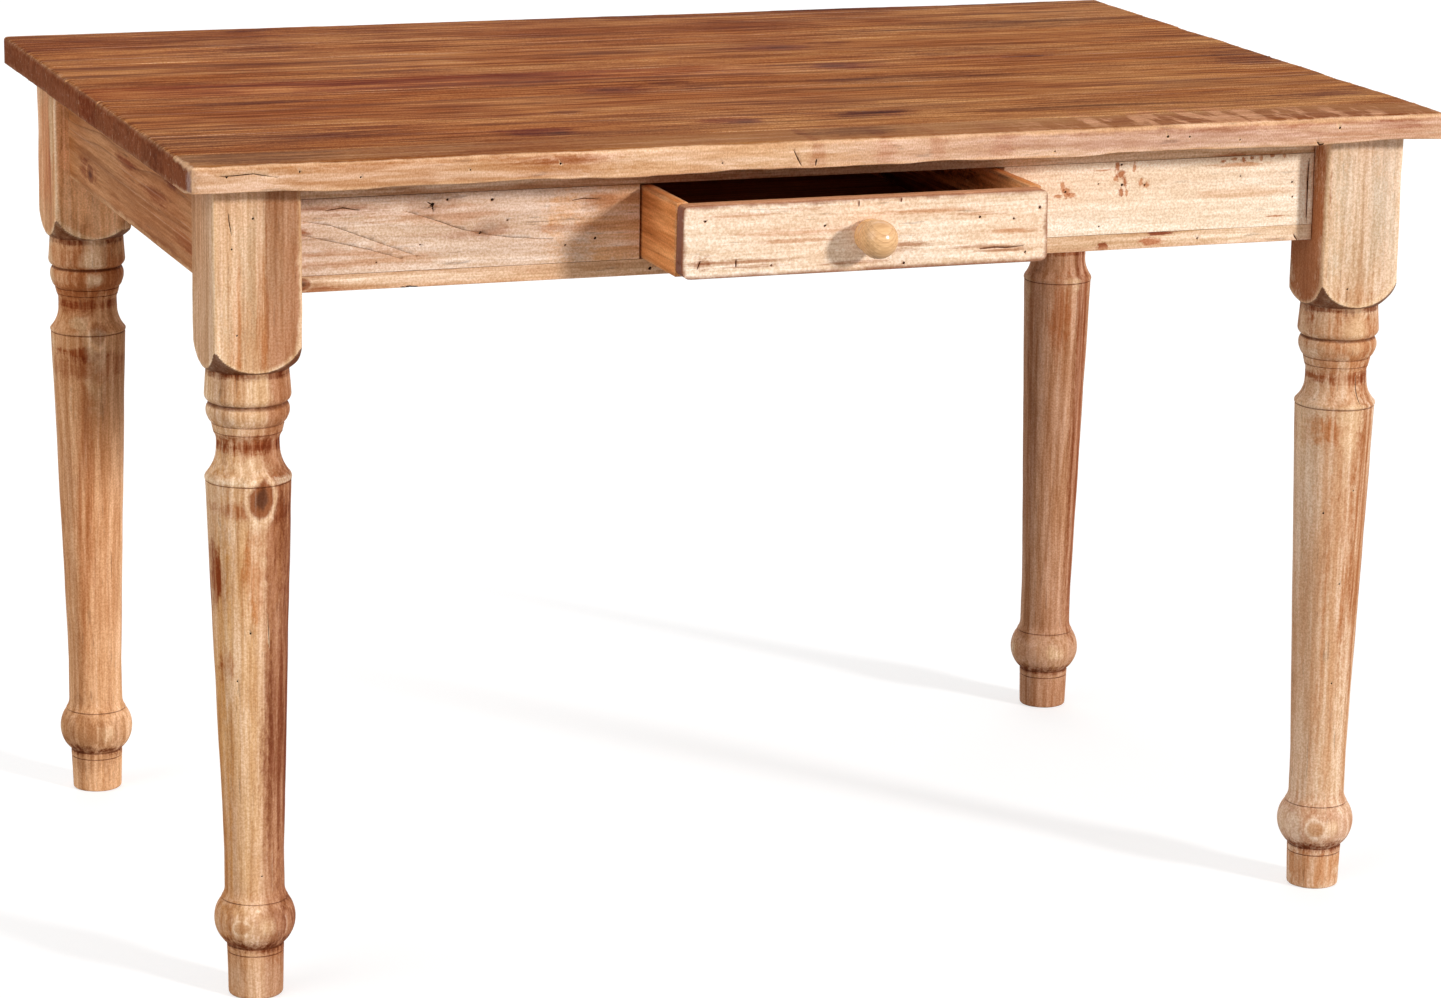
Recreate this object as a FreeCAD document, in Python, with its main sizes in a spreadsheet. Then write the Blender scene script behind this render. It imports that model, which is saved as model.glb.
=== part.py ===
import FreeCAD, Part
import math
import os
import re

import Sketcher

# A tavern table in solid pine: a glued-up top on four turned legs, aprons bolted to the legs
# through corner braces, and one flush drawer on wooden runners in the front apron.
# Millimetres. X runs along the table, Y from its front to its back, Z up, and the origin is
# on the floor under the middle of the top. The drawer stands pulled out by drawer_pull.

os.makedirs("parts", exist_ok=True)
doc = FreeCAD.newDocument("TavernTable")

# ---------------------------------------------------------------- driving sizes

sizes = {
    # the top
    "table_height": 770,
    "top_length": 1200,
    "top_width": 800,
    "top_thickness": 27,
    "top_arris_radius": 2,
    "top_overhang_end": 27,
    "top_overhang_front": 33,
    # its boards, from the back; the eighth takes what the others leave of the width
    "board_width_one": 125,
    "board_width_two": 89,
    "board_width_three": 82,
    "board_width_four": 61,
    "board_width_five": 73,
    "board_width_six": 70,
    "board_width_seven": 107,
    "board_width_nine": 64,
    # the square head of a leg
    "leg_square": 80,
    "leg_arris_radius": 3,
    "leg_chamfer": 12,
    "leg_head": 137,
    # its turned part, from the floor up
    "foot_radius": 25.5,
    "foot_round": 3,
    "foot_flare": 1,
    "foot_height": 36,
    "foot_ring_height": 8,
    "foot_ring_swell": 1.8,
    "ball_height": 42,
    "ball_swell": 9.5,
    "front_left_ball_lift": 11,
    "neck_radius": 27.5,
    "neck_ring_height": 5,
    "neck_ring_swell": 1.5,
    "neck_height": 45,
    "shaft_top_radius": 38.8,
    # and from the square head down
    "shoulder_height": 32,
    "shoulder_swell": 3,
    "collar_height": 31,
    "collar_radius": 38.3,
    "collar_round": 3,
    "collar_taper": 0.8,
    "groove_radius": 35.2,
    "bead_height": 14,
    "bead_swell": 2.2,
    "cove_height": 46,
    "cove_radius": 36.3,
    "cove_depth": 6.7,
    "band_height": 10,
    "band_swell": 1.6,
    "turning_room": 4,
    # the aprons
    "apron_height": 99,
    "apron_thickness": 22,
    "front_setback": 26,
    "side_setback": 15,
    "rail_low_height": 15,
    "rail_top_height": 16,
    # the drawer
    "drawer_width": 348,
    "drawer_depth": 420,
    "drawer_height": 66,
    "drawer_pull": 108,
    "drawer_front_thickness": 18,
    "drawer_corner_round": 5,
    "drawer_arris_radius": 2,
    "drawer_side_thickness": 12,
    "drawer_bottom_thickness": 5,
    "drawer_bottom_lift": 8,
    "drawer_groove_depth": 6,
    "drawer_side_gap": 2,
    "drawer_rise": 0.5,
    # what carries and guides it
    "runner_width": 36,
    "runner_overlap": 19,
    "runner_tenon_length": 8,
    "runner_tenon_height": 8,
    "runner_shoulder": 4,
    "guide_height": 20,
    "guide_gap": 1,
    "slide_gap": 0.3,
    "stop_length": 20,
    # the knob
    "knob_radius": 17.3,
    "knob_length": 43,
    "knob_ring_radius": 15,
    "knob_foot_radius": 12,
    "knob_ring_rise": 5,
    "knob_ring_height": 5,
    "knob_ring_swell": 1,
    "knob_waist_radius": 13,
    "knob_back_swell": 1.6,
    # what holds the pieces together
    "brace_height": 56,
    "brace_thickness": 24,
    "brace_gap": 3,
    "bolt_radius": 4,
    "bolt_grip": 45,
    "bolt_tail": 6,
    "washer_radius": 10,
    "washer_thickness": 1.6,
    "nut_across": 13,
    "nut_height": 6.5,
    "screw_radius": 2,
    "screw_head_radius": 4,
    "screw_head_height": 2.8,
    "brace_screw_length": 34,
    "brace_screw_spread": 30,
    "brace_screw_seat": 14,
    "button_length": 40,
    "button_width": 32,
    "button_tongue": 8,
    "button_tongue_height": 8,
    "button_groove_drop": 11,
    "button_groove_depth": 9,
    "button_groove_room": 1,
    "button_place_side": 150,
    "button_place_back": 300,
    "top_screw_length": 32,
    "rail_screw_place": 120,
    "knob_screw_length": 32,
    "dowel_radius": 3,
    "dowel_length": 28,
    "dowel_in_front": 10,
    "dowel_margin": 8,
    "dowel_raise": 24,
    "nail_radius": 0.8,
    "nail_length": 16,
    "nail_head_radius": 2,
    "nail_head_height": 0.8,
    "nail_spread": 110,
    "fit_gap": 0.1,
}

sheet = doc.addObject("Spreadsheet::Sheet", "Sizes")
for row, (name, value) in enumerate(sizes.items(), start=1):
    sheet.set(f"A{row}", name)
    sheet.set(f"B{row}", str(value))
    sheet.setAlias(f"B{row}", name)
doc.recompute()

# Lengths worked out from the sizes, written as expressions so that every piece stays tied.
root_two = "sqrt(2)"
leg_height = "(table_height - top_thickness)"
leg_x = "(top_length / 2 - top_overhang_end - leg_square / 2)"
leg_y = "(top_width / 2 - top_overhang_front - leg_square / 2)"
leg_inner_x = f"({leg_x} - leg_square / 2)"
leg_inner_y = f"({leg_y} - leg_square / 2)"
apron_low = f"({leg_height} - apron_height)"
front_face = f"({leg_y} + leg_square / 2 - front_setback)"
front_inner = f"({front_face} - apron_thickness)"
side_face = f"({leg_x} + leg_square / 2 - side_setback)"
side_inner = f"({side_face} - apron_thickness)"
opening_half = "(drawer_width / 2 + drawer_side_gap)"
opening_low = f"({apron_low} + rail_low_height)"
opening_high = f"({leg_height} - rail_top_height)"
drawer_low = f"({opening_low} + drawer_rise)"
drawer_front_y = f"({front_face} + drawer_pull)"


# ---------------------------------------------------------------- small tools

def tie(expression):
    """Point each size that an expression names at its cell."""
    return re.sub(
        r"[A-Za-z_]+",
        lambda word: f"Sizes.{word.group()}" if word.group() in sizes else word.group(),
        expression,
    )


def number(expression):
    """The present value of an expression."""
    return float(sheet.evalExpression(tie(expression)))


def bind(thing, ties):
    """Bind properties to expressions."""
    for path, expression in ties.items():
        thing.setExpression(path, tie(expression))


def place(thing, x, y, z, rotation=FreeCAD.Rotation()):
    """Put a thing at x, y, z, turned as rotation says."""
    thing.Placement = FreeCAD.Placement(FreeCAD.Vector(), rotation)
    bind(thing, {"Placement.Base.x": x, "Placement.Base.y": y, "Placement.Base.z": z})


def turned(direction):
    """The rotation that lays a piece's own Z along a direction."""
    return FreeCAD.Rotation(FreeCAD.Vector(0, 0, 1), FreeCAD.Vector(*direction))


def box(name, length, width, height, x, y, z):
    """A plain block with its low corner at x, y, z."""
    block = doc.addObject("Part::Box", name)
    bind(block, {"Length": length, "Width": width, "Height": height})
    place(block, x, y, z)
    return block


def cylinder(name, radius, height, x, y, z, direction):
    """A round bar that starts at x, y, z and runs along direction."""
    bar = doc.addObject("Part::Cylinder", name)
    bind(bar, {"Radius": radius, "Height": height})
    place(bar, x, y, z, turned(direction))
    return bar


def fuse(name, *things):
    """Several shapes joined into one solid."""
    joined = doc.addObject("Part::MultiFuse", name)
    joined.Shapes = list(things)
    return joined


def group(name, *things):
    """Separate solids kept as one node."""
    together = doc.addObject("Part::Compound", name)
    together.Links = list(things)
    return together


def cut(name, base, *tools):
    """A base with tools taken away from it."""
    tool = tools[0] if len(tools) == 1 else group(f"{name}_tools", *tools)
    rest = doc.addObject("Part::Cut", name)
    rest.Base = base
    rest.Tool = tool
    return rest


def mirror(name, source, across):
    """The twin of a piece on the other side of the table: across is the axis it changes."""
    twin = doc.addObject("Part::Mirroring", name)
    twin.Source = source
    twin.Normal = FreeCAD.Vector(*across)
    return twin


across_x = (1, 0, 0)
across_y = (0, 1, 0)
tiny = 0.01


def both_sides(name, source):
    """A piece and its twin at the table's other end."""
    return group(name, source, mirror(f"{name}_twin", source, across_x))


def four_corners(name, source):
    """A piece and its three twins at the other corners."""
    front = both_sides(f"{name}_front", source)
    return group(name, front, mirror(f"{name}_back", front, across_y))


def new_body(name):
    """An empty PartDesign body."""
    return doc.addObject("PartDesign::Body", name)


def outline(body, name, plane, points):
    """A closed sketch on one of the body's own planes.

    Each point is (across, up) or (across, up, swell). The swell is how far the side that
    starts at the point bows out to the right of its chord, and it is negative for a hollow.
    """
    sketch = body.newObject("Sketcher::SketchObject", name)
    origin = next(f for f in body.Origin.OriginFeatures if f.Role == plane)
    sketch.AttachmentSupport = [(origin, "")]
    sketch.MapMode = "FlatFace"
    start_end = []
    rounds = []
    for index, point in enumerate(points):
        after = points[(index + 1) % len(points)]
        x1, y1, x2, y2 = (number(e) for e in (*point[:2], *after[:2]))
        if len(point) == 2:
            ends = FreeCAD.Vector(x1, y1, 0), FreeCAD.Vector(x2, y2, 0)
            sketch.addGeometry(Part.LineSegment(*ends), False)
            start_end.append((1, 2))
            continue
        swell = number(point[2])
        chord = math.hypot(x2 - x1, y2 - y1)
        right = FreeCAD.Vector((y2 - y1) / chord, (x1 - x2) / chord, 0)
        radius = (chord ** 2 / 4 + swell ** 2) / (2 * swell)
        centre = FreeCAD.Vector((x1 + x2) / 2, (y1 + y2) / 2, 0) + right * (swell - radius)
        first, last = ((x1, y1), (x2, y2)) if swell > 0 else ((x2, y2), (x1, y1))
        start_end.append((1, 2) if swell > 0 else (2, 1))
        angles = [math.atan2(y - centre.y, x - centre.x) for x, y in (first, last)]
        circle = Part.Circle(centre, FreeCAD.Vector(0, 0, 1), abs(radius))
        sketch.addGeometry(Part.ArcOfCircle(circle, *angles), False)
        span = f"(({after[0]} - {point[0]})^2 + ({after[1]} - {point[1]})^2)"
        rounds.append((index, f"({span} / 4 + ({point[2]})^2) / (2 * abs({point[2]}))"))
    for index, (x, y, *_) in enumerate(points):
        before = index - 1 if index else len(points) - 1
        here = (index, start_end[index][0])
        sketch.addConstraint(
            Sketcher.Constraint("Coincident", before, start_end[before][1], *here)
        )
        for kind, axis, expression in (("DistanceX", -2, x), ("DistanceY", -1, y)):
            if expression == "0":
                sketch.addConstraint(Sketcher.Constraint("PointOnObject", *here, axis))
                continue
            tied = sketch.addConstraint(
                Sketcher.Constraint(kind, -1, 1, *here, number(expression))
            )
            sketch.setExpression(f"Constraints[{tied}]", tie(expression))
    for index, expression in rounds:
        tied = sketch.addConstraint(Sketcher.Constraint("Radius", index, number(expression)))
        sketch.setExpression(f"Constraints[{tied}]", tie(expression))
    return sketch


def pad(body, name, profile, length):
    """Extrude a sketch along +X, +Y or +Z, whichever its plane faces."""
    solid = body.newObject("PartDesign::Pad", name)
    solid.Profile = profile
    bind(solid, {"Length": length})
    origin = profile.AttachmentSupport[0][0]
    solid.Reversed = origin.Role == "XZ_Plane"
    profile.Visibility = False
    return solid


def revolve(body, name, kind, profile):
    """Turn a sketch about the body's own Z axis, to add (Revolution) or remove (Groove)."""
    solid = body.newObject(f"PartDesign::{kind}", name)
    solid.Profile = profile
    solid.ReferenceAxis = (profile, ["V_Axis"])
    solid.Angle = 360
    return solid


def ease(body, name, kind, size, base, wanted):
    """Round (Fillet) or bevel (Chamfer) the edges of a base that a test picks."""
    doc.recompute()
    picked = [
        f"Edge{index}"
        for index, edge in enumerate(base.Shape.Edges, start=1)
        if wanted(edge.BoundBox.Center, edge.BoundBox)
    ]
    eased = body.newObject(f"PartDesign::{kind}", name)
    eased.Base = (base, picked)
    bind(eased, {"Radius" if kind == "Fillet" else "Size": size})
    return eased


def screw(name, length, x, y, z, direction, room="0", head_room="0"):
    """A countersunk wood screw with its head's flat face at x, y, z, driven along direction.

    room makes it the hole for one instead, and head_room the sinking above its head.
    """
    shank = cylinder(f"{name}_shank", f"screw_radius + {room}", length, x, y, z, direction)
    head = doc.addObject("Part::Cone", f"{name}_head")
    bind(head, {
        "Radius1": f"screw_head_radius + {room}",
        "Radius2": f"screw_radius + {room}",
        "Height": "screw_head_height",
    })
    place(head, x, y, z, turned(direction))
    if head_room == "0":
        return fuse(name, shank, head)
    back = [-c for c in direction]
    sink = cylinder(
        f"{name}_sink", f"screw_head_radius + {room}", head_room, x, y, z, back
    )
    return fuse(name, shank, head, sink)


nodes = {}


def keep(node, thing):
    """Name a finished sub-part."""
    thing.Label = node
    nodes[node] = thing
    return thing


# ---------------------------------------------------------------- screws for the top

# Wooden buttons hold the side and back aprons to the top and let it shrink and swell. In
# front, screws go up through the top rail. The screws come first: the boards are bored for
# them. button_middle is how far a button's screw stands inside its apron.
button_thickness = "(button_groove_drop + button_tongue_height)"
button_low = f"({leg_height} - {button_thickness})"
button_middle = "(button_length / 2)"
rail_screw_y = f"-({front_face} - apron_thickness / 2)"


def top_screws(name, room):
    """The screws that hold the top down, or the holes for them."""
    up = (0, 0, 1)
    side = screw(
        f"{name}_side", "top_screw_length",
        f"-({side_inner} - {button_middle})", "-button_place_side", button_low, up, room,
    )
    back = screw(
        f"{name}_back", "top_screw_length",
        "-button_place_back", f"{front_inner} - {button_middle}", button_low, up, room,
    )
    rail = screw(
        f"{name}_rail", "top_screw_length",
        "-rail_screw_place", rail_screw_y, opening_high, up, room,
    )
    middle = screw(
        f"{name}_middle", "top_screw_length", "0", rail_screw_y, opening_high, up, room,
    )
    buttons = group(
        f"{name}_buttons",
        four_corners(f"{name}_sides", side),
        both_sides(f"{name}_backs", back),
    )
    rails = group(f"{name}_rails", both_sides(f"{name}_rail_pair", rail), middle)
    return buttons, rails


button_screws, rail_screws = top_screws("top_screw", "0")
keep("button_screws", button_screws)
keep("front_rail_screws", rail_screws)
button_holes, rail_holes = top_screws("top_hole", "fit_gap")

# ---------------------------------------------------------------- the top

# Nine boards glued edge to edge, with the outer arrises rounded over.
*board_widths, front_width = [name for name in sizes if name.startswith("board_width_")]
rest_width = f"(top_width - {' - '.join(board_widths)} - {front_width})"
board_widths += [rest_width, front_width]
board_back = "(top_width / 2)"

for index, width in enumerate(board_widths, start=1):
    board_front = f"({board_back} - {width})"
    body = new_body(f"board_{index}_body")
    face = outline(body, f"board_{index}_face", "XY_Plane", [
        ("0", "0"), ("top_length", "0"), ("top_length", width), ("0", width),
    ])
    slab = pad(body, f"board_{index}_slab", face, "top_thickness")
    place(body, "-top_length / 2", board_front, leg_height)
    rim = {1: number(width), len(board_widths): 0}.get(index)

    def on_rim(middle, extent, rim=rim):
        """Level edges at the board's ends, and on the top's long edge if it has one."""
        at_end = extent.XLength < tiny
        on_long_edge = rim is not None and abs(middle.y - rim) < tiny
        return extent.ZLength < tiny and (at_end or on_long_edge)

    ease(body, f"board_{index}_arris", "Fillet", "top_arris_radius", slab, on_rim)
    keep(f"top_board_{index}", cut(f"board_{index}", body, button_holes, rail_holes))
    board_back = board_front

# ---------------------------------------------------------------- the legs

# Each leg is turned from one square blank: the head stays square, its inner corner is
# bevelled for the hanger bolt, and a groove feature takes away what the gouge takes away.
ball_low = "(foot_height + foot_ring_height)"
shoulder_top = f"({leg_height} - leg_head)"
shoulder_low = f"({shoulder_top} - shoulder_height)"
collar_low = f"({shoulder_low} - collar_height)"
bead_low = f"({collar_low} - bead_height)"
cove_low = f"({bead_low} - cove_height)"
band_low = f"({cove_low} - band_height)"
foot_top_radius = "(foot_radius + foot_flare)"
blank_corner = f"(leg_square / {root_two} + turning_room)"
bolt_z = f"({apron_low} + apron_height / 2)"

legs = {
    "leg_front_left": (-1, -1, "front_left_ball_lift"),
    "leg_front_right": (1, -1, "0"),
    "leg_back_right": (1, 1, "0"),
    "leg_back_left": (-1, 1, "0"),
}
for name, (x_side, y_side, lift) in legs.items():
    body = new_body(f"{name}_body")
    half = "leg_square / 2"
    blank = pad(
        body, f"{name}_blank",
        outline(body, f"{name}_square", "XY_Plane", [
            (f"-{half}", f"-{half}"), (half, f"-{half}"), (half, half), (f"-{half}", half),
        ]),
        leg_height,
    )
    bevel = ease(
        body, f"{name}_bevel", "Chamfer", "leg_chamfer", blank,
        lambda middle, extent: extent.ZLength > tiny and middle.x > 0 and middle.y > 0,
    )
    at_corner = number("leg_square") - tiny
    ease(
        body, f"{name}_arrises", "Fillet", "leg_arris_radius", bevel,
        lambda middle, extent: extent.ZLength > tiny
        and abs(middle.x) + abs(middle.y) > at_corner,
    )
    profile = outline(body, f"{name}_profile", "XZ_Plane", [
        (blank_corner, "0"),
        ("foot_radius - foot_round", "0", "foot_round * (1 - sqrt(0.5))"),
        ("foot_radius", "foot_round"),
        (foot_top_radius, f"foot_height + {lift}", "foot_ring_swell"),
        ("neck_radius", f"{ball_low} + {lift}", "ball_swell"),
        ("neck_radius", f"{ball_low} + ball_height + {lift}", "neck_ring_swell"),
        ("neck_radius", f"{ball_low} + ball_height + neck_ring_height + {lift}"),
        ("neck_radius", f"{ball_low} + ball_height + neck_ring_height + neck_height"),
        ("shaft_top_radius", band_low, "band_swell"),
        ("cove_radius", cove_low, "-cove_depth"),
        ("cove_radius", bead_low),
        ("groove_radius", bead_low, "bead_swell"),
        ("groove_radius", collar_low),
        ("collar_radius - collar_round", collar_low, "collar_round * (1 - sqrt(0.5))"),
        ("collar_radius", f"{collar_low} + collar_round"),
        ("collar_radius - collar_taper", shoulder_low, "shoulder_swell"),
        (blank_corner, shoulder_top),
    ])
    revolve(body, f"{name}_turning", "Groove", profile)
    inward = math.atan2(-y_side, -x_side) - math.atan2(1, 1)
    place(
        body, f"{x_side} * {leg_x}", f"{y_side} * {leg_y}", "0",
        FreeCAD.Rotation(FreeCAD.Vector(0, 0, 1), math.degrees(inward)),
    )
    keep(name, body)

# ---------------------------------------------------------------- the corner braces

# A brace is a block set at 45 degrees across each corner, screwed to both aprons. One hanger
# bolt through it draws the leg up against the ends of the aprons. corner_x and corner_y are
# how far the leg's inner corner stands inside the aprons, and along is a distance from the
# aprons' own corner, square to the brace.
corner_x = f"({side_inner} - {leg_inner_x})"
corner_y = f"({front_inner} - {leg_inner_y})"
corner_along = f"(({corner_x} + {corner_y} - leg_chamfer) / {root_two})"
brace_near = f"({corner_along} + brace_gap)"
brace_far = f"({brace_near} + brace_thickness)"
brace_low = f"({bolt_z} - brace_height / 2)"
diagonal = (1, 1, 0)


def on_bolt_line(along):
    """The x and y of a point on the front left bolt's axis."""
    return (
        f"{along} / {root_two} + ({corner_x} - {corner_y}) / 2 - {side_inner}",
        f"{along} / {root_two} - ({corner_x} - {corner_y}) / 2 - {front_inner}",
    )


bolt_start = f"({corner_along} - bolt_grip)"
bolt_end = f"({brace_far} + washer_thickness + nut_height + bolt_tail)"
bolt = cylinder(
    "bolt", "bolt_radius", f"{bolt_end} - {bolt_start}",
    *on_bolt_line(bolt_start), bolt_z, diagonal,
)
bolt_hole = cylinder(
    "bolt_hole", "bolt_radius + fit_gap", f"{bolt_end} - {bolt_start} + fit_gap",
    *on_bolt_line(f"({bolt_start} - fit_gap)"), bolt_z, diagonal,
)
washer = cut(
    "washer",
    cylinder(
        "washer_disc", "washer_radius", "washer_thickness",
        *on_bolt_line(brace_far), bolt_z, diagonal,
    ),
    bolt_hole,
)
nut_blank = doc.addObject("Part::Prism", "nut_blank")
nut_blank.Polygon = 6
bind(nut_blank, {"Circumradius": "nut_across / sqrt(3)", "Height": "nut_height"})
place(
    nut_blank, *on_bolt_line(f"({brace_far} + washer_thickness)"), bolt_z, turned(diagonal),
)
nut = cut("nut", nut_blank, bolt_hole)
keep("hanger_bolts", four_corners("bolts", bolt))
keep("brace_washers", four_corners("washers", washer))
keep("brace_nuts", four_corners("nuts", nut))

# Two screws at each end of a brace. screw_line is where they stand along the apron: in the
# middle of the brace's end, and sunk from its inner face by brace_screw_seat.
screw_line = f"(({brace_near} + {brace_far}) / 2 * {root_two})"


def brace_screws(name, room, head_room):
    """The four screws of the front left brace, or their holes."""
    driven = []
    for level, side in (("low", -1), ("high", 1)):
        z = f"{bolt_z} + {side} * brace_screw_spread / 2"
        driven.append(screw(
            f"{name}_side_{level}", "brace_screw_length",
            f"brace_screw_seat - {side_inner}", f"{screw_line} - {front_inner}", z,
            (-1, 0, 0), room, head_room,
        ))
        driven.append(screw(
            f"{name}_front_{level}", "brace_screw_length",
            f"{screw_line} - {side_inner}", f"brace_screw_seat - {front_inner}", z,
            (0, -1, 0), room, head_room,
        ))
    return group(name, *driven)


keep("brace_screws", four_corners("screws", brace_screws("corner_screws", "0", "0")))
corner_screw_holes = brace_screws("corner_screw_holes", "fit_gap", "brace_thickness")
screw_holes = four_corners("screw_holes", corner_screw_holes)
bolt_holes = four_corners("bolt_holes", bolt_hole)

body = new_body("brace_body")
pad(
    body, "brace_slab",
    outline(body, "brace_plan", "XY_Plane", [
        (f"{brace_near} * {root_two}", "0"), (f"{brace_far} * {root_two}", "0"),
        ("0", f"{brace_far} * {root_two}"), ("0", f"{brace_near} * {root_two}"),
    ]),
    "brace_height",
)
place(body, f"-{side_inner}", f"-{front_inner}", brace_low)
brace = cut("brace", body, corner_screw_holes, bolt_hole)
keep("corner_brace_front_left", brace)
keep("corner_brace_front_right", mirror("brace_front_right", brace, across_x))
back_brace = mirror("brace_back_left", brace, across_y)
keep("corner_brace_back_left", back_brace)
keep("corner_brace_back_right", mirror("brace_back_right", back_brace, across_x))

for name in legs:
    keep(name, cut(f"{name}_bored", nodes[name], bolt_holes))

# ---------------------------------------------------------------- the drawer's runners

# On each side a runner carries the drawer, a guide glued on it keeps the drawer straight and
# a kicker above stops it tipping. Runners and kickers are tenoned into the front rails and
# the back apron. A stop block on each runner brings the drawer's front flush.
back_inner = front_inner
runner_length = f"({front_inner} + {back_inner})"
runner_x = "(drawer_width / 2 - runner_overlap)"
tenon_width = "(runner_width - 2 * runner_shoulder)"
stop_y = f"(drawer_depth - {front_face} + slide_gap)"
guide_x = "(drawer_width / 2 + guide_gap)"


def tenon(name, height, low, room="0"):
    """A bar as long as a runner with both its tenons, or the mortises for it."""
    return box(
        name, f"{tenon_width} + 2 * {room}",
        f"{runner_length} + 2 * (runner_tenon_length + {room})",
        f"runner_tenon_height + 2 * {room}",
        f"{runner_x} + runner_shoulder - {room}",
        f"-{front_inner} - runner_tenon_length - {room}",
        f"{low} + ({height} - runner_tenon_height) / 2 - {room}",
    )


mortises = []
for kind, height, low in (
    ("runner", "rail_low_height", apron_low), ("kicker", "rail_top_height", opening_high),
):
    bar = fuse(
        f"{kind}_bar",
        box(
            f"{kind}_blank", "runner_width", runner_length, height,
            runner_x, f"-{front_inner}", low,
        ),
        tenon(f"{kind}_tenon", height, low),
    )
    keep(f"drawer_{kind}_right", bar)
    keep(f"drawer_{kind}_left", mirror(f"{kind}_left", bar, across_x))
    mortises.append(both_sides(f"{kind}_mortises", tenon(
        f"{kind}_mortise", height, low, "fit_gap",
    )))

guide = box(
    "guide", f"{runner_x} + runner_width - {guide_x}", runner_length, "guide_height",
    guide_x, f"-{front_inner}", opening_low,
)
keep("drawer_guide_right", guide)
keep("drawer_guide_left", mirror("guide_left", guide, across_x))
stop = box(
    "stop", f"{guide_x} - {runner_x}", "stop_length", "guide_height",
    runner_x, stop_y, opening_low,
)
keep("drawer_stop_right", stop)
keep("drawer_stop_left", mirror("stop_left", stop, across_x))

# ---------------------------------------------------------------- the aprons

# The side and back aprons are one board each, grooved inside for the buttons. The sketch is
# the board's end: outer face at zero, inner face at its thickness.
groove_high = "(apron_height - button_groove_drop)"
groove_low = f"({groove_high} - button_tongue_height - button_groove_room)"
grooved_end = [
    ("0", "0"), ("apron_thickness", "0"),
    ("apron_thickness", groove_low), ("apron_thickness - button_groove_depth", groove_low),
    ("apron_thickness - button_groove_depth", groove_high), ("apron_thickness", groove_high),
    ("apron_thickness", "apron_height"), ("0", "apron_height"),
]
facing_front = FreeCAD.Rotation(FreeCAD.Vector(0, 0, 1), 270)

body = new_body("apron_left_body")
pad(
    body, "apron_left_board", outline(body, "apron_left_end", "XZ_Plane", grooved_end),
    f"2 * {leg_inner_y}",
)
place(body, f"-{side_face}", f"-{leg_inner_y}", apron_low)
apron_left = cut("apron_left_bored", body, screw_holes)
keep("apron_left", apron_left)
keep("apron_right", mirror("apron_right_bored", apron_left, across_x))

body = new_body("apron_back_body")
pad(
    body, "apron_back_board", outline(body, "apron_back_end", "XZ_Plane", grooved_end),
    f"2 * {leg_inner_x}",
)
place(body, f"-{leg_inner_x}", front_face, apron_low, facing_front)
keep("apron_back", cut("apron_back_bored", body, screw_holes, *mortises))

# The front apron was ripped in three and its middle strip cut in two round the drawer: a
# rail above, a rail below and a piece at either side of the opening, glued back together.
rail_length = f"2 * {leg_inner_x}"
rail_low = box(
    "rail_low", rail_length, "apron_thickness", "rail_low_height",
    f"-{leg_inner_x}", f"-{front_face}", apron_low,
)
keep("front_rail_bottom", cut("rail_low_mortised", rail_low, mortises[0]))
rail_top = box(
    "rail_top", rail_length, "apron_thickness", "rail_top_height",
    f"-{leg_inner_x}", f"-{front_face}", opening_high,
)
keep("front_rail_top", cut("rail_top_mortised", rail_top, mortises[1], rail_holes))
side_piece = cut(
    "side_piece_bored",
    box(
        "side_piece", f"{leg_inner_x} - {opening_half}", "apron_thickness",
        f"{opening_high} - {opening_low}", f"-{leg_inner_x}", f"-{front_face}", opening_low,
    ),
    screw_holes,
)
keep("front_apron_left", side_piece)
keep("front_apron_right", mirror("side_piece_right", side_piece, across_x))

# ---------------------------------------------------------------- the top's buttons

# A button is a block with a tongue: the tongue hooks into the apron's groove, the block is
# screwed up into the top. It is drawn for the left apron, its length along X.
button_end = [
    ("-button_tongue", "0"), ("button_length", "0"), ("button_length", button_thickness),
    ("0", button_thickness), ("0", "button_tongue_height"),
    ("-button_tongue", "button_tongue_height"),
]
body = new_body("button_side_body")
pad(body, "button_side_block", outline(body, "button_side_end", "XZ_Plane", button_end),
    "button_width")
place(body, f"-{side_inner}", "-button_place_side - button_width / 2", button_low)
side_buttons = four_corners("side_buttons", body)
body = new_body("button_back_body")
pad(body, "button_back_block", outline(body, "button_back_end", "XZ_Plane", button_end),
    "button_width")
place(
    body, "-button_place_back - button_width / 2", back_inner, button_low, facing_front,
)
back_buttons = both_sides("back_buttons", body)
blocks = group("button_blocks", side_buttons, back_buttons)
keep("top_buttons", cut("buttons", blocks, button_holes))

# ---------------------------------------------------------------- the drawer

# The front is butted over the ends of the sides and dowelled to them, the back stands between
# the sides, and the bottom slides in below the back in grooves and is nailed to it.
inner_half = "(drawer_width / 2 - drawer_side_thickness)"
front_back_y = f"(drawer_front_thickness - {drawer_front_y})"
drawer_end_y = f"(drawer_depth - {drawer_front_y})"
side_length = "(drawer_depth - drawer_front_thickness)"
bottom_z = f"({drawer_low} + drawer_bottom_lift)"
back_low = f"({bottom_z} + drawer_bottom_thickness)"
back_y = f"({drawer_end_y} - drawer_side_thickness)"
side_low = f"({opening_low} + slide_gap)"
knob_z = f"({drawer_low} + drawer_height / 2)"

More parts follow.
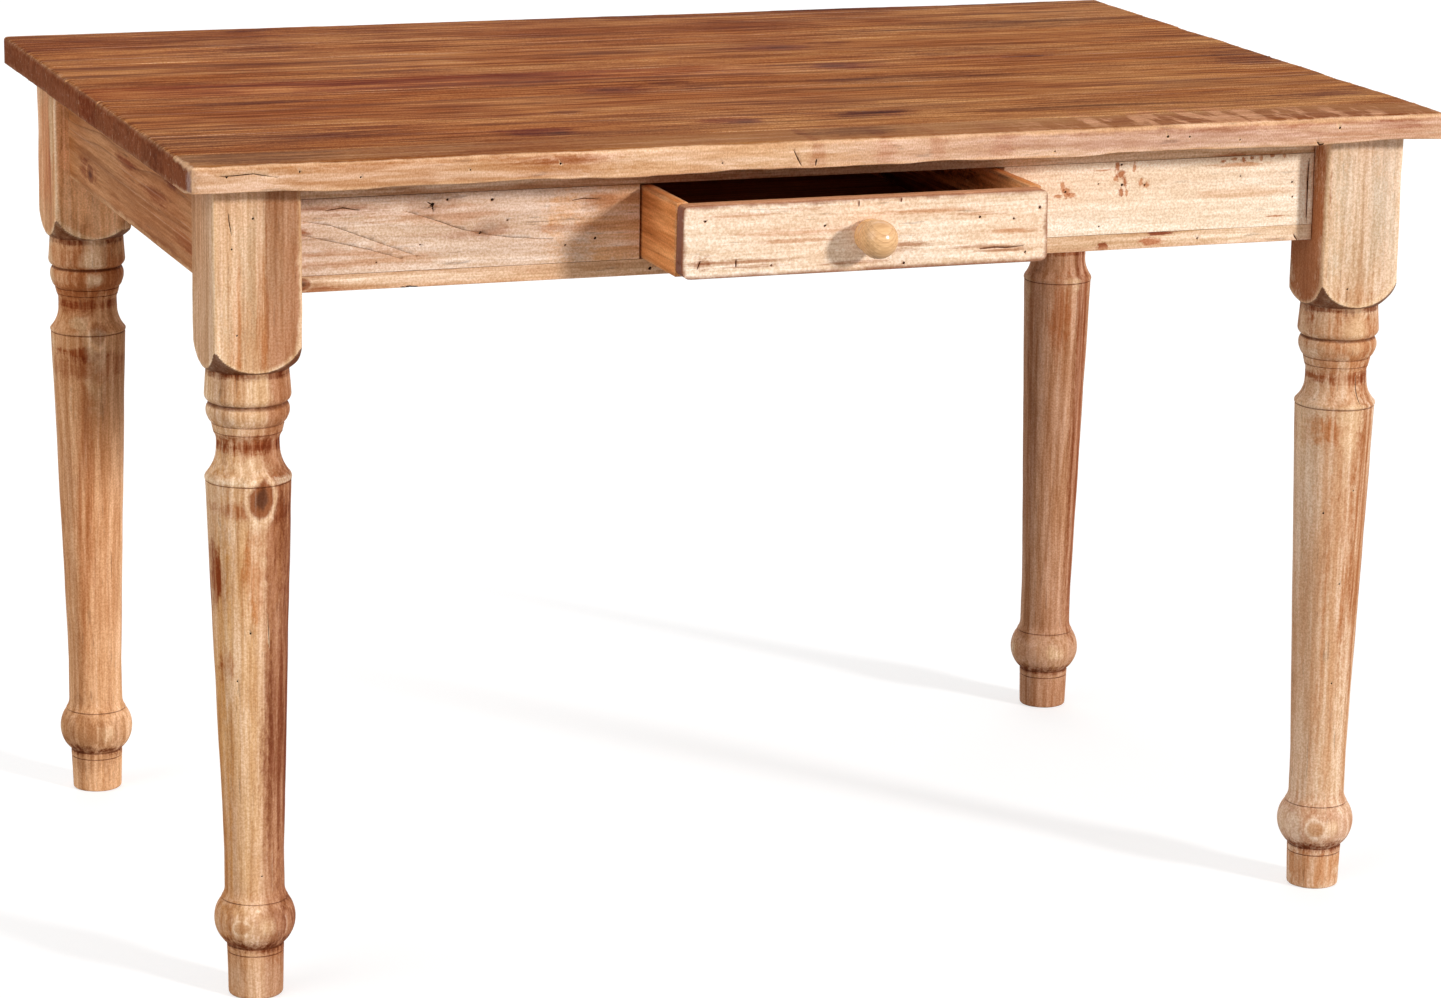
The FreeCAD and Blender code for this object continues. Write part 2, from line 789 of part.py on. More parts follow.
panel_half = f"({inner_half} + drawer_groove_depth - fit_gap)"
panel_front_y = f"({front_back_y} - drawer_groove_depth + fit_gap)"
panel = box(
    "panel", f"2 * {panel_half}", f"{drawer_end_y} - {panel_front_y}",
    "drawer_bottom_thickness", f"-{panel_half}", panel_front_y, bottom_z,
)
panel_groove = box(
    "panel_groove", f"2 * ({panel_half} + fit_gap)",
    f"{drawer_end_y} - {panel_front_y} + 2 * fit_gap",
    "drawer_bottom_thickness", f"-{panel_half} - fit_gap", f"{panel_front_y} - fit_gap",
    bottom_z,
)

# Dowels: two at each corner, in from the front's back face and in through the sides' ends.
dowel_pairs = []
dowel_hole_pairs = []
for level, z in (
    ("low", f"{back_low} + dowel_margin"), ("high", f"{back_low} + dowel_margin + dowel_raise"),
):
    for room, made in (("0", dowel_pairs), ("fit_gap", dowel_hole_pairs)):
        kind = f"{level}_{'dowel' if room == '0' else 'dowel_hole'}"
        side_middle = f"{inner_half} + drawer_side_thickness / 2"
        made.append(cylinder(
            f"front_{kind}", f"dowel_radius + {room}", f"dowel_length + 2 * {room}",
            f"-({side_middle})", f"{front_back_y} - dowel_in_front - {room}", z, (0, 1, 0),
        ))
        made.append(cylinder(
            f"back_{kind}", f"dowel_radius + {room}", f"dowel_length + 2 * {room}",
            f"-drawer_width / 2 - {room}",
            f"{back_y} + drawer_side_thickness / 2", z, (1, 0, 0),
        ))
keep("drawer_dowels", both_sides("dowels", group("left_dowels", *dowel_pairs)))
dowel_holes = both_sides("dowel_holes", group("left_dowel_holes", *dowel_hole_pairs))

# The knob's screw goes in from inside the drawer, so its head bears on the front's back.
to_front = (0, -1, 0)


def knob_screw(name, room):
    """The screw that holds the knob, or its hole."""
    return screw(name, "knob_screw_length", "0", front_back_y, knob_z, to_front, room)


keep("knob_screw", knob_screw("knob_fixing", "0"))
knob_hole = knob_screw("knob_hole", "fit_gap")

body = new_body("drawer_front_body")
slab = pad(
    body, "drawer_front_slab",
    outline(body, "drawer_front_face", "XZ_Plane", [
        ("-drawer_width / 2", "0"), ("drawer_width / 2", "0"),
        ("drawer_width / 2", "drawer_height"), ("-drawer_width / 2", "drawer_height"),
    ]),
    "drawer_front_thickness",
)
corners = ease(
    body, "drawer_front_corners", "Fillet", "drawer_corner_round", slab,
    lambda middle, extent: extent.XLength < tiny and extent.ZLength < tiny,
)
ease(
    body, "drawer_front_arris", "Fillet", "drawer_arris_radius", corners,
    lambda middle, extent: extent.YLength < tiny and middle.y < tiny,
)
place(body, "0", f"-{drawer_front_y}", drawer_low)
keep("drawer_front", cut(
    "drawer_front_cut", body, group("front_cuts", panel_groove, dowel_holes), knob_hole,
))

side_board = box(
    "side_board", "drawer_side_thickness", side_length,
    f"{drawer_low} + drawer_height - {side_low}", "-drawer_width / 2", front_back_y, side_low,
)
drawer_side = cut("drawer_side", side_board, panel_groove, dowel_holes)
keep("drawer_side_left", drawer_side)
keep("drawer_side_right", mirror("drawer_side_twin", drawer_side, across_x))
back_board = box(
    "back_board", f"2 * {inner_half}", "drawer_side_thickness",
    f"{drawer_low} + drawer_height - {back_low}", f"-{inner_half}", back_y, back_low,
)


def nail(name, x, room="0"):
    """A nail up through the drawer's bottom into its back, or its hole."""
    y = f"{back_y} + drawer_side_thickness / 2"
    up = (0, 0, 1)
    shank = cylinder(
        f"{name}_shank", f"nail_radius + {room}", f"nail_length + {room}", x, y, bottom_z, up,
    )
    head = cylinder(
        f"{name}_head", f"nail_head_radius + {room}", f"nail_head_height + {room}",
        x, y, f"{bottom_z} - {room}", up,
    )
    return fuse(name, shank, head)


def nails(name, room):
    """One nail in the middle and one each side."""
    outer = both_sides(f"{name}_outer", nail(f"{name}_side", "-nail_spread", room))
    return group(name, outer, nail(f"{name}_middle", "0", room))


keep("drawer_nails", nails("nails", "0"))
nail_holes = nails("nail_holes", "fit_gap")
keep("drawer_back", cut("drawer_back", back_board, dowel_holes, nail_holes))
keep("drawer_bottom", cut("drawer_bottom", panel, nail_holes))

# ---------------------------------------------------------------- the knob

# Turned in one piece: a foot on the drawer's face, a ring, a waist and a ball.
knob_ring_top = "(knob_ring_rise + knob_ring_height)"
knob_middle = "(knob_length - knob_radius)"
body = new_body("knob_body")
revolve(body, "knob_turning", "Revolution", outline(body, "knob_profile", "XZ_Plane", [
    ("0", "0"),
    ("knob_foot_radius", "0"),
    ("knob_ring_radius", "knob_ring_rise", "knob_ring_swell"),
    ("knob_waist_radius", knob_ring_top, "knob_back_swell"),
    ("knob_radius", knob_middle, "knob_radius * (1 - sqrt(0.5))"),
    ("0", "knob_length"),
]))
place(body, "0", f"-{drawer_front_y}", knob_z, turned(to_front))
keep("knob", cut("knob_bored", body, knob_hole))

# ---------------------------------------------------------------- check and write

doc.recompute()
for thing in doc.Objects:
    if {"Invalid", "Error"} & set(thing.State):
        raise RuntimeError(f"{thing.Name} failed: {thing.State}")
for node, thing in nodes.items():
    if thing.Shape.isNull() or not thing.Shape.isValid() or thing.Shape.Volume <= 0:
        raise RuntimeError(f"{node} has no valid shape")
for node, thing in nodes.items():
    thing.Shape.exportStep(os.path.join("parts", f"{node}.step"))
    print(f"{node}: {len(thing.Shape.Solids)} solid(s), {thing.Shape.Volume / 1000:.1f} cm3")
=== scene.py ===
import math
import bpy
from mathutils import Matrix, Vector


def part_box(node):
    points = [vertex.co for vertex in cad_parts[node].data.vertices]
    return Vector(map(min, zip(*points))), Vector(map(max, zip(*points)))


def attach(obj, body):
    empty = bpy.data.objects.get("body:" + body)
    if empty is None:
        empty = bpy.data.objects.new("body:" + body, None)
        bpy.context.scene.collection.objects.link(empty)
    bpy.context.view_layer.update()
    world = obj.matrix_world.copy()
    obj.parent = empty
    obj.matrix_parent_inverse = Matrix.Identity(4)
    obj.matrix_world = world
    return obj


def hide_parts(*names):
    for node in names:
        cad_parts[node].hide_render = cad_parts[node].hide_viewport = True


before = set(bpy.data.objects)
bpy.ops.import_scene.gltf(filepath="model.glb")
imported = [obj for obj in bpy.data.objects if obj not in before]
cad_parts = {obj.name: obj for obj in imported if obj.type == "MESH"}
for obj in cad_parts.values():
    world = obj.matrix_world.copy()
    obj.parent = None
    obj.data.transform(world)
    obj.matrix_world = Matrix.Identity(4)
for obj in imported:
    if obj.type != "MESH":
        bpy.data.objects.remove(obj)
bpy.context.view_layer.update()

from types import SimpleNamespace

import bmesh
import bpy
import numpy as np
from mathutils import Matrix, Vector

# ---------------------------------------------------------------- the camera

# It stands to the left of the table's middle, about twice the table's height up, and looks
# down on the top at a flat angle through a long lens.
camera_place = Vector((-1.5152, -4.2324, 1.4501))
camera_turn, camera_tilt, camera_roll = map(math.radians, (-20.047, -13.802, 0.944))
camera = bpy.data.objects.new("camera", bpy.data.cameras.new("camera"))
camera.data.lens = 116.94
camera.data.sensor_width = 36
camera.data.clip_start = 0.1
camera.matrix_world = (
    Matrix.Translation(camera_place) @ Matrix.Rotation(camera_turn, 4, "Z")
    @ Matrix.Rotation(math.pi / 2 + camera_tilt, 4, "X") @ Matrix.Rotation(camera_roll, 4, "Z")
)
bpy.context.scene.collection.objects.link(camera)
bpy.context.scene.camera = camera
bpy.context.scene.view_settings.view_transform = "Standard"

# ---------------------------------------------------------------- the floor and the light

# A plain pale floor under a white sky. One soft lamp stands low at the front right, and two
# faint ones lift the left side and the back.


class Wire:
    """A node's output. A sum on it, with wires, numbers or (x, y, z), puts down a node."""

    def __init__(self, nodes, socket):
        self.nodes, self.socket = nodes, socket

    def do(self, operation, *others):
        """A sum by its name, such as MAXIMUM or LENGTH."""
        return self.nodes.reckon(operation, self, *others)

    def __add__(self, other):
        return self.do("ADD", other)

    def __sub__(self, other):
        return self.do("SUBTRACT", other)

    def __rsub__(self, other):
        return self.nodes.reckon("SUBTRACT", other, self)

    def __mul__(self, other):
        return self.do("MULTIPLY", other)

    def __truediv__(self, other):
        return self.do("DIVIDE", other)

    __radd__ = __add__

    def step(self, low, high, out_low=0.0, out_high=1.0):
        """A smooth step from out_low to out_high as the wire goes from low to high."""
        return self.nodes.put(
            "ShaderNodeMapRange", (self, low, high, out_low, out_high),
            interpolation_type="SMOOTHSTEP",
        )

    def noise(self, scale=1.0, detail=2.0, roughness=0.5, output=0):
        """Noise between nought and one at this place, or three channels of it as output 1."""
        return self.nodes.put("ShaderNodeTexNoise", {
            "Vector": self, "Scale": scale, "Detail": detail, "Roughness": roughness,
        }, output)

    def split(self):
        """The x, y and z of a vector."""
        node = self.nodes.node("ShaderNodeSeparateXYZ", (self,))
        return [Wire(self.nodes, socket) for socket in node.outputs]


class Nodes:
    """A tree's nodes, and short calls to put them down."""

    def __init__(self, tree):
        self.tree = tree
        tree.nodes.clear()

    def node(self, kind, feeds=(), **settings):
        """Add a node and feed its inputs, by order or by name, with wires or values."""
        node = self.tree.nodes.new(kind)
        for name, value in settings.items():
            setattr(node, name, value)
        for key, feed in feeds.items() if isinstance(feeds, dict) else enumerate(feeds):
            if isinstance(feed, Wire):
                self.tree.links.new(feed.socket, node.inputs[key])
            elif feed is not None:
                node.inputs[key].default_value = feed
        return node

    def put(self, kind, feeds=(), output=0, **settings):
        """Add a node for one of its outputs."""
        return Wire(self, self.node(kind, feeds, **settings).outputs[output])

    def reckon(self, operation, *feeds):
        """A sum on numbers, or on vectors where one of the feeds is one."""
        if not any(
            f.socket.type in ("VECTOR", "RGBA") if isinstance(f, Wire) else isinstance(f, tuple)
            for f in feeds
        ):
            return self.put("ShaderNodeMath", feeds, operation=operation)
        feeds = [(f,) * 3 if isinstance(f, (int, float)) else f for f in feeds]
        output = "Value" if operation in ("LENGTH", "DOT_PRODUCT") else "Vector"
        return self.put("ShaderNodeVectorMath", feeds, output, operation=operation)

    def join(self, x, y, z):
        """A vector from three numbers."""
        return self.put("ShaderNodeCombineXYZ", (x, y, z))

    def mix(self, factor, low, high, blend="MIX"):
        """Two colours mixed."""
        feeds = {0: factor, 6: low, 7: high}
        return self.put("ShaderNodeMix", feeds, 2, data_type="RGBA", blend_type=blend)

    def tint(self, tone, tint):
        """A colour seen through a thin stain."""
        return self.mix(1.0, tone, colour(*tint), "MULTIPLY")

    def finish(self, inputs):
        """Close a material with a shader of these inputs."""
        self.node("ShaderNodeOutputMaterial", (self.put("ShaderNodeBsdfPrincipled", inputs),))


def colour(*channels):
    """A colour written as a screen shows it, for a shader."""
    shares = (channel / 255 for channel in channels)
    return *(s / 12.92 if s <= 0.04045 else ((s + 0.055) / 1.055) ** 2.4 for s in shares), 1.0


def new_material(name):
    """An empty material, its nodes and a wire with the place on the piece."""
    material = bpy.data.materials.new(name)
    material.use_nodes = True
    nodes = Nodes(material.node_tree)
    return material, nodes, nodes.put("ShaderNodeTexCoord", output="Object")


def into_mesh(name, vertices, faces):
    """A mesh object in the scene, shaded smooth."""
    mesh = bpy.data.meshes.new(name)
    mesh.from_pydata(vertices, [], faces)
    mesh.shade_smooth()
    piece = bpy.data.objects.new(name, mesh)
    bpy.context.scene.collection.objects.link(piece)
    return piece


white = (1, 1, 1, 1)
floor_half, floor_glow = 30, 0.62
corners = [(x * floor_half, y * floor_half, 0) for x, y in ((-1, -1), (1, -1), (1, 1), (-1, 1))]
floor = into_mesh("floor", corners, [(0, 1, 2, 3)])
floor_paint, nodes, _ = new_material("pale_floor")
paint = nodes.put("ShaderNodeBsdfDiffuse", {"Color": colour(190, 190, 190)})
seen = nodes.put("ShaderNodeLightPath", output="Is Camera Ray")
glow = nodes.put("ShaderNodeEmission", {"Color": white, "Strength": seen * floor_glow})
nodes.node("ShaderNodeOutputMaterial", (nodes.put("ShaderNodeAddShader", (paint, glow)),))
floor.data.materials.append(floor_paint)

sky_light = 0.40
sky = bpy.data.worlds.new("white_sky")
sky.use_nodes = True
bpy.context.scene.world = sky
nodes = Nodes(sky.node_tree)
path = nodes.node("ShaderNodeLightPath").outputs
seen, mirrored, through = (
    Wire(nodes, path[f"Is {ray} Ray"]) for ray in ("Camera", "Glossy", "Transmission")
)
seen = seen.do("MAXIMUM", mirrored).do("MAXIMUM", through)
strength = nodes.put("ShaderNodeMapRange", (seen, 0, 1, sky_light, 1))
nodes.node("ShaderNodeOutputWorld", (nodes.put("ShaderNodeBackground", (white, strength)),))

for name, towards, share, softness in (
    ("key_lamp", (0.548, -0.775, 0.315), 0.78, 7),
    ("left_lamp", (-0.80, -0.30, 0.52), 0.34, 50),
    ("back_lamp", (0.25, 0.85, 0.45), 0.30, 60),
):
    lamp = bpy.data.lights.new(name, "SUN")
    lamp.energy = share * math.pi
    lamp.angle = math.radians(softness)
    holder = bpy.data.objects.new(name, lamp)
    holder.rotation_euler = Vector(towards).to_track_quat("Z", "Y").to_euler()
    bpy.context.scene.collection.objects.link(holder)

# ---------------------------------------------------------------- the top

# Nine pine boards, planed by hand and glued edge to edge, then rubbed down at the rim and
# stained a red brown. Their front edge has worn back to the bare wood.
mm = 0.001
origin = (0.0, 0.0, 0.0)


def new_group(name, kind, **inputs):
    """A node group, its nodes and its inputs by name. An input comes as its default or kind."""
    nodes = Nodes(bpy.data.node_groups.new(name, kind))
    for label, default in inputs.items():
        takes = {float: "Float", int: "Int", tuple: "Vector"}.get(type(default), default)
        socket = nodes.tree.interface.new_socket(
            label.replace("_", " ").capitalize(), in_out="INPUT", socket_type=f"NodeSocket{takes}"
        )
        if takes != default:
            socket.default_value = default
    sockets = nodes.node("NodeGroupInput").outputs
    given = {label: Wire(nodes, socket) for label, socket in zip(inputs, sockets)}
    return nodes.tree, nodes, SimpleNamespace(**given)


def give(nodes, **outputs):
    """Close a node group: name its outputs and feed them."""
    for label, wire in outputs.items():
        kind = {"VALUE": "Float", "GEOMETRY": "Geometry"}[wire.socket.type]
        nodes.tree.interface.new_socket(
            label.capitalize(), in_out="OUTPUT", socket_type=f"NodeSocket{kind}"
        )
    nodes.node("NodeGroupOutput", list(outputs.values()))


def use(nodes, tree, **inputs):
    """Put in a node group of a shader and give its outputs by name."""
    feeds = {label.capitalize(): feed for label, feed in inputs.items()}
    outputs = nodes.node("ShaderNodeGroup", feeds, node_tree=tree).outputs
    return SimpleNamespace(**{socket.name.lower(): Wire(nodes, socket) for socket in outputs})


# How a knot bends the grain round itself, and where its dark middle, its body and its pale
# rim lie, u being the distance from its middle in radii.
knot_tree, nodes, given = new_group(
    "knot", "ShaderNodeTree", place=origin, centre=origin, radius=0.01, squeeze=0.6
)
away = (given.place - given.centre) * nodes.join(given.squeeze, 1.0, 1.0)
ragged = (given.place * (0.5, 1, 1)).noise(48, 4, 0.65) - 0.5
u = away.do("LENGTH") / given.radius
bell = (u * u * -0.30).do("EXPONENT")
u = ragged * 1.5 + u
rim = u - 1.12
give(
    nodes,
    swirl=bell * (given.radius * 1.1),
    core=u.step(0.62, 0.18),
    body=u.step(1.12, 0.72),
    rim=(rim * rim * -26).do("EXPONENT"),
    halo=(ragged * 2.2 + u).step(3.2, 0.9),
)

# A patch where the wood or its stain is darker or lighter, with ragged edges.
patch_tree, nodes, given = new_group(
    "patch", "ShaderNodeTree", place=origin, centre=origin, reach=(0.1, 0.1, 0.1)
)
away = (given.place - given.centre) / given.reach
ragged = (away * 1.3 + given.centre * (61, 67, 71)).noise(1, 5, 0.68)
frayed = (given.place * (0.4, 1, 1)).noise(330, 3, 0.7)
away = (ragged - 0.5) * 2.0 + away.do("LENGTH")
away = (frayed - 0.5) * 1.3 + away
give(nodes, amount=away.step(1.1, 0.35))

# The figure of pine, in a frame whose first axis is the grain: growth rings round the pith,
# the fibres, and the streaks where the stain took more or less.
grain_tree, nodes, given = new_group(
    "grain", "ShaderNodeTree", place=origin, pith=origin, ring=0.005, wander=0.014, swirl=0.0,
    seed=0.0, coarse=1.0,
)
drifted = given.place + given.seed * (7.31, 3.17, 5.73)
fine_place = drifted / given.coarse


def stretched(along, across, detail=2.0, roughness=0.5, output=0, place=drifted):
    """Noise drawn out along the grain."""
    return (place * (along, across, across)).noise(1, detail, roughness, output)


sway = (stretched(2.4, 6.5, 1, 0.5, 1) - 0.5) * given.wander
ripple = (stretched(13, 55, 1, 0.5, 1) - 0.5) * 0.0022
inward = (given.place - given.pith + sway + ripple) * (0, 1, 1)
from_pith = inward.do("LENGTH")
year = ((from_pith + given.swirl) / given.ring).do("FRACT")
late = nodes.node("ShaderNodeValToRGB", (year,))
for element in late.color_ramp.elements:
    element.color = (0, 0, 0, 1)
for place, grey in ((0.45, 0.04), (0.82, 0.42), (0.91, 1.0), (0.95, 0.4)):
    late.color_ramp.elements.new(place).color = (grey, grey, grey, 1)
late = Wire(nodes, late.outputs[0])
plain = stretched(1.6, 16, 3).step(0.36, 0.66, 0.15, 1)
give(
    nodes,
    late=nodes.put("ShaderNodeMath", (late, plain), operation="MULTIPLY"),
    fibre=stretched(34, 430, 2, 0.6, 0, fine_place),
    streak=stretched(1.9, 48, 5, 0.68),
    broad=stretched(2.6, 11, 3, 0.6),
    thread=stretched(5.5, 140, 3, 0.62),
    dash=stretched(24, 230, 3, 0.6, 0, fine_place),
    scratch=stretched(1.1, 330, 1, 0.5),
    speck=drifted.noise(520, 2, 0.6),
    depth=from_pith,
)

sound_knot = (198, 146, 102), (178, 122, 82)
# The second colour darkens the hollows of turned pieces: dirt in them, and painted shade.
pore, dirt_and_shade_tone = (70, 36, 20), (104, 52, 28)


def along_grain(parts, axis, unit=1):
    """Three coordinates with the one along the grain first."""
    order = {"X": "XYZ", "Y": "YXZ", "Z": "ZXY"}[axis]
    return tuple(parts["XYZ".index(letter)] * unit for letter in order)


def pine(
    name, axis, pith, light, dark, red, seed, ring=5.0, wander=14, rings=0.34, streaks=0.40,
    threads=0.30, fibres=0.14, dashes=0.5, scratches=0.2, specks=0.20, knots=(), knot_depth=0.8,
    knot_rim=0.45, knot_colours=((146, 84, 48), (82, 40, 24)), patches=(), scuffs=(),
    heart=None, stain=None, bare=None, worn=0.8, dirt_shade_and_wear=0.0, end=None, shine=0.56, gloss=0.1,
    bump=0.35, coarse=1.0, short=1.0,
):
    """Pine. The light and dark woods lie between growth rings, red is the broad streaks.

    Colours are as a screen shows them, and places and lengths are in mm. axis is the
    grain's. A knot is (x, y, z, radius), and with a fifth number, how much it is squeezed
    along the grain, a small sound one. A patch or scuff is (x, y, z, its reach along each
    axis, tint, strength), and a patch lays its tint on like paint where its strength is
    negative. heart is the heartwood's radius and tint, stain a tint for what faces up, and
    bare and end are the colours of rubbed edges and of end grain. coarse widens the fibres,
    and short shortens the streaks.
    """
    material, nodes, place = new_material(name)
    along = nodes.put("ShaderNodeCombineXYZ", along_grain(place.split(), axis))
    found = []
    for *centre, radius, squeeze in (knot if len(knot) == 5 else (*knot, None) for knot in knots):
        found.append(use(
            nodes, knot_tree, place=along, centre=along_grain(centre, axis, mm),
            radius=radius * mm, squeeze=squeeze,
        ))
        found[-1].sound = bool(squeeze)
    figure = use(
        nodes, grain_tree, place=along * (short, 1, 1), pith=along_grain(pith, axis, mm),
        ring=ring * mm, wander=wander * mm, swirl=sum(knot.swirl for knot in found), seed=seed,
        coarse=coarse,
    )

    def patch(*box):
        """How much of a patch there is, from its centre and its reach."""
        centre, reach = (along_grain(part, axis, mm) for part in (box[:3], box[3:]))
        return use(nodes, patch_tree, place=along, centre=centre, reach=reach).amount

    light, dark, red = (colour(*c) for c in (light, dark, red))
    tone = nodes.mix(figure.broad.step(0.34, 0.66), light, red)
    tone = nodes.mix(figure.streak.step(0.46, 0.72) * streaks, tone, dark)
    tone = nodes.mix(figure.late * rings, tone, dark)
    if heart:
        heart_radius, heart_tone = heart
        inside = figure.streak * 0.016 + figure.depth
        inside = inside.step((heart_radius + 11) * mm, (heart_radius + 3) * mm)
        tone = nodes.mix(inside, tone, nodes.tint(tone, heart_tone))
    facing = nodes.put("ShaderNodeNewGeometry", output="Normal").split()
    if end:
        at_end = facing["XYZ".index(axis)].do("ABSOLUTE").step(0.5, 0.85)
        ends = nodes.mix(0.22, colour(*end), (0, 0, 0, 1))
        ends = nodes.mix(place.noise(22, 5, 0.75).step(0.3, 0.7), colour(*end), ends)
        ends = nodes.mix(figure.late * 0.12, ends, (0.01, 0, 0, 1))
        tone = nodes.mix(at_end, tone, ends)
    if stain:
        tone = nodes.mix(facing[2].step(0.55, 0.93), tone, nodes.tint(tone, stain))
    for *box, tint, strength in patches:
        weakest = (0.3 if abs(strength) < 1.1 else 0.8) * strength
        amount = patch(*box) * figure.thread.step(0.30, 0.58, weakest, strength)
        if strength > 0:
            tone = nodes.mix(amount, tone, nodes.tint(tone, tint))
        else:
            tone = nodes.mix(amount * -1.0, tone, colour(*tint))
    for *box, tint, strength in scuffs:
        scraped = (place * (1, 0.22, 0.22)).noise(62, 3, 0.6).step(0.48, 0.60, 0, strength)
        tone = nodes.mix(patch(*box) * scraped, tone, colour(*tint))
    edge, hollow = (nodes.put(
        "ShaderNodeAttribute", output="Fac", attribute_type="GEOMETRY", attribute_name=stored
    ) for stored in ("edge", "dirt_shade_and_wear"))
    if bare:
        reach = figure.streak * place.noise(38, 3, 0.7)
        rubbed = (reach * -0.016 + edge).step(0.0012, -0.0035)
        tone = nodes.mix(rubbed * worn, tone, colour(*bare))
    for knot in found:
        body, core = (colour(*c) for c in (sound_knot if knot.sound else knot_colours))
        if not knot.sound:
            frayed = figure.thread.step(0.35, 0.6, 0.1 * knot_depth, 0.55 * knot_depth)
            tone = nodes.mix(knot.halo * frayed, tone, nodes.mix(0.55, tone, body))
        middle = nodes.mix(knot.core * 0.85, body, core)
        tone = nodes.mix(knot.body * knot_depth, tone, middle)
        tone = nodes.mix(knot.rim * knot_rim, tone, light)
    # Hollows of turned pieces are darkened, for dirt in them and for painted shade; proud rings
    # take the rubbed colour as worn.
    if dirt_shade_and_wear:
        patchy = place.noise(48, 4, 0.65).step(0.30, 0.62)
        deep = (hollow * (patchy * 0.35 + 0.65)).do("MAXIMUM", 0.0)
        tone = nodes.mix(deep * dirt_shade_and_wear, tone, colour(*dirt_and_shade_tone))
        proud = (hollow * -1.0).do("MAXIMUM", 0.0) * (patchy * -0.7 + 0.8)
        tone = nodes.mix(proud, tone, colour(*bare))
    dash = figure.dash.step(0.62, 0.74) * dashes
    tone = nodes.mix(dash, tone, nodes.mix(0.65, tone, colour(*pore)))
    scratch = figure.scratch.step(0.66, 0.74, 0, scratches)
    tone = nodes.mix(scratch, tone, nodes.mix(0.5, tone, (1, 0.86, 0.68, 1)))
    fine = figure.fibre.step(0.28, 0.72, 1 - fibres * 1.2, 1 + fibres)
    for part, amount in ((figure.thread, threads), (figure.speck, specks)):
        fine = fine * part.step(0.32, 0.68, 1 + amount * 0.7, 1 - amount)
    if end:
        fine = (0.94 - fine) * (at_end * 0.6) + fine
    fine = nodes.join(fine.do("POWER", 0.65), fine, fine.do("POWER", 1.45))

    height = place.noise(26, 2) * 2.2 + (figure.late * 0.5 + figure.fibre - dash)
    surface = {"Strength": bump, "Distance": 0.0006, "Height": height}
    nodes.finish({
        "Base Color": nodes.mix(1.0, tone, fine, "MULTIPLY"),
        "Roughness": figure.broad.step(0.2, 0.8, shine - 0.06, shine + 0.08),
        "Normal": nodes.put("ShaderNodeBump", surface), "Specular IOR Level": gloss,
    })
    return material


def store(nodes, mesh, name, value):
    """A mesh with a number stored at its points."""
    return nodes.put("GeometryNodeStoreNamedAttribute", {
        "Geometry": mesh, "Name": name, "Value": value,
    }, data_type="FLOAT", domain="POINT")


def give_mesh(nodes, mesh, finish, place=None):
    """Close a Geometry Nodes tree: move the points, make instances real, set the material."""
    moved = nodes.put("GeometryNodeSetPosition", {"Geometry": mesh, "Position": place})
    solid = nodes.put("GeometryNodeRealizeInstances", (moved,))
    give(nodes, mesh=nodes.put("GeometryNodeSetMaterial", {
        "Geometry": solid, "Material": finish,
    }))


# A board starts as a block with rows of points that crowd towards its arrises. This tree
# rounds the arrises of each board a hair, those of the whole assembly more, and hollows the
# faces as a plane and years of use do.
worn_tree, nodes, given = new_group(
    "worn_board", "GeometryNodeTree", board="Geometry", low=origin, high=origin, arris=0.0003,
    outer_low=origin, outer_high=origin, rim=0.002, corner=0.0, corner_plane=(1, 1, 0),
    wave=0.0, wear=1.0, hollow=0.0004, seed=0.0, finish="Material",
)


def rounded(point, low, high, radius, plane=(1, 1, 1)):
    """Push a block's surface point onto the same block with round arrises."""
    inset = radius * plane
    core = (high - inset).do("MINIMUM", (low + inset).do("MAXIMUM", point))
    out = point - core
    keep = (radius / out.do("LENGTH").do("MAXIMUM", 1e-7)).do("MINIMUM", 1.0)
    return core + out * keep, out.do("NORMALIZE")


place = nodes.put("GeometryNodeInputPosition")
drifted = place + given.seed * (1, 1, 0)
outer = given.outer_low, given.outer_high
above, below = (place - outer[0]).split(), (outer[1] - place).split()
wander = (drifted.noise(9, 1) * 1.5 + drifted.noise(60, 2) * 0.7 - 0.85) * given.wear
height = ((place - outer[0]) / (outer[1] - outer[0])).split()[2]
rim = wander.do("EXPONENT") * given.rim * height.step(0.1, 0.9, 0.55, 1.4)
corner = given.corner.do("MAXIMUM", 1e-6)
smoothed, outward = rounded(place, given.low, given.high, given.arris)
smoothed, _ = rounded(smoothed, *outer, rim)
smoothed, _ = rounded(smoothed, *outer, corner, given.corner_plane)
swell = (drifted * (1, 0, 0)).noise(8, 2).step(0.35, 0.68)
lift = above[2].step(0.006, 0.0) * above[1].step(0.028, 0.004) * swell * given.wave
sunk = drifted.noise(7, 2) * given.hollow * -1.0
gaps = [above[axis].do("MINIMUM", below[axis]) for axis in range(3)]
middle = gaps[0].do("MAXIMUM", gaps[1]).do("MINIMUM", gaps[2])
middle = middle.do("MAXIMUM", gaps[0].do("MINIMUM", gaps[1]))
give_mesh(nodes, store(nodes, given.board, "edge", middle), given.finish,
          smoothed + nodes.join(0.0, 0.0, lift) + outward * sunk)


def ticks(low, high, step):
    """Where rows of points stand between two ends, closer together near the ends."""
    length = high - low
    margins = np.array([0, 0.0004, 0.0009, 0.0016, 0.0026, 0.0042, 0.0064, 0.0090])
    margins = margins[:6 if length < 0.05 else 8] * min(1, length / 0.012)
    count = max(1, round((length - 2 * margins[-1]) / step))
    middle = np.linspace(low + margins[-1], high - margins[-1], count + 1)
    return np.concatenate([low + margins[:-1], middle, high - margins[-2::-1]])


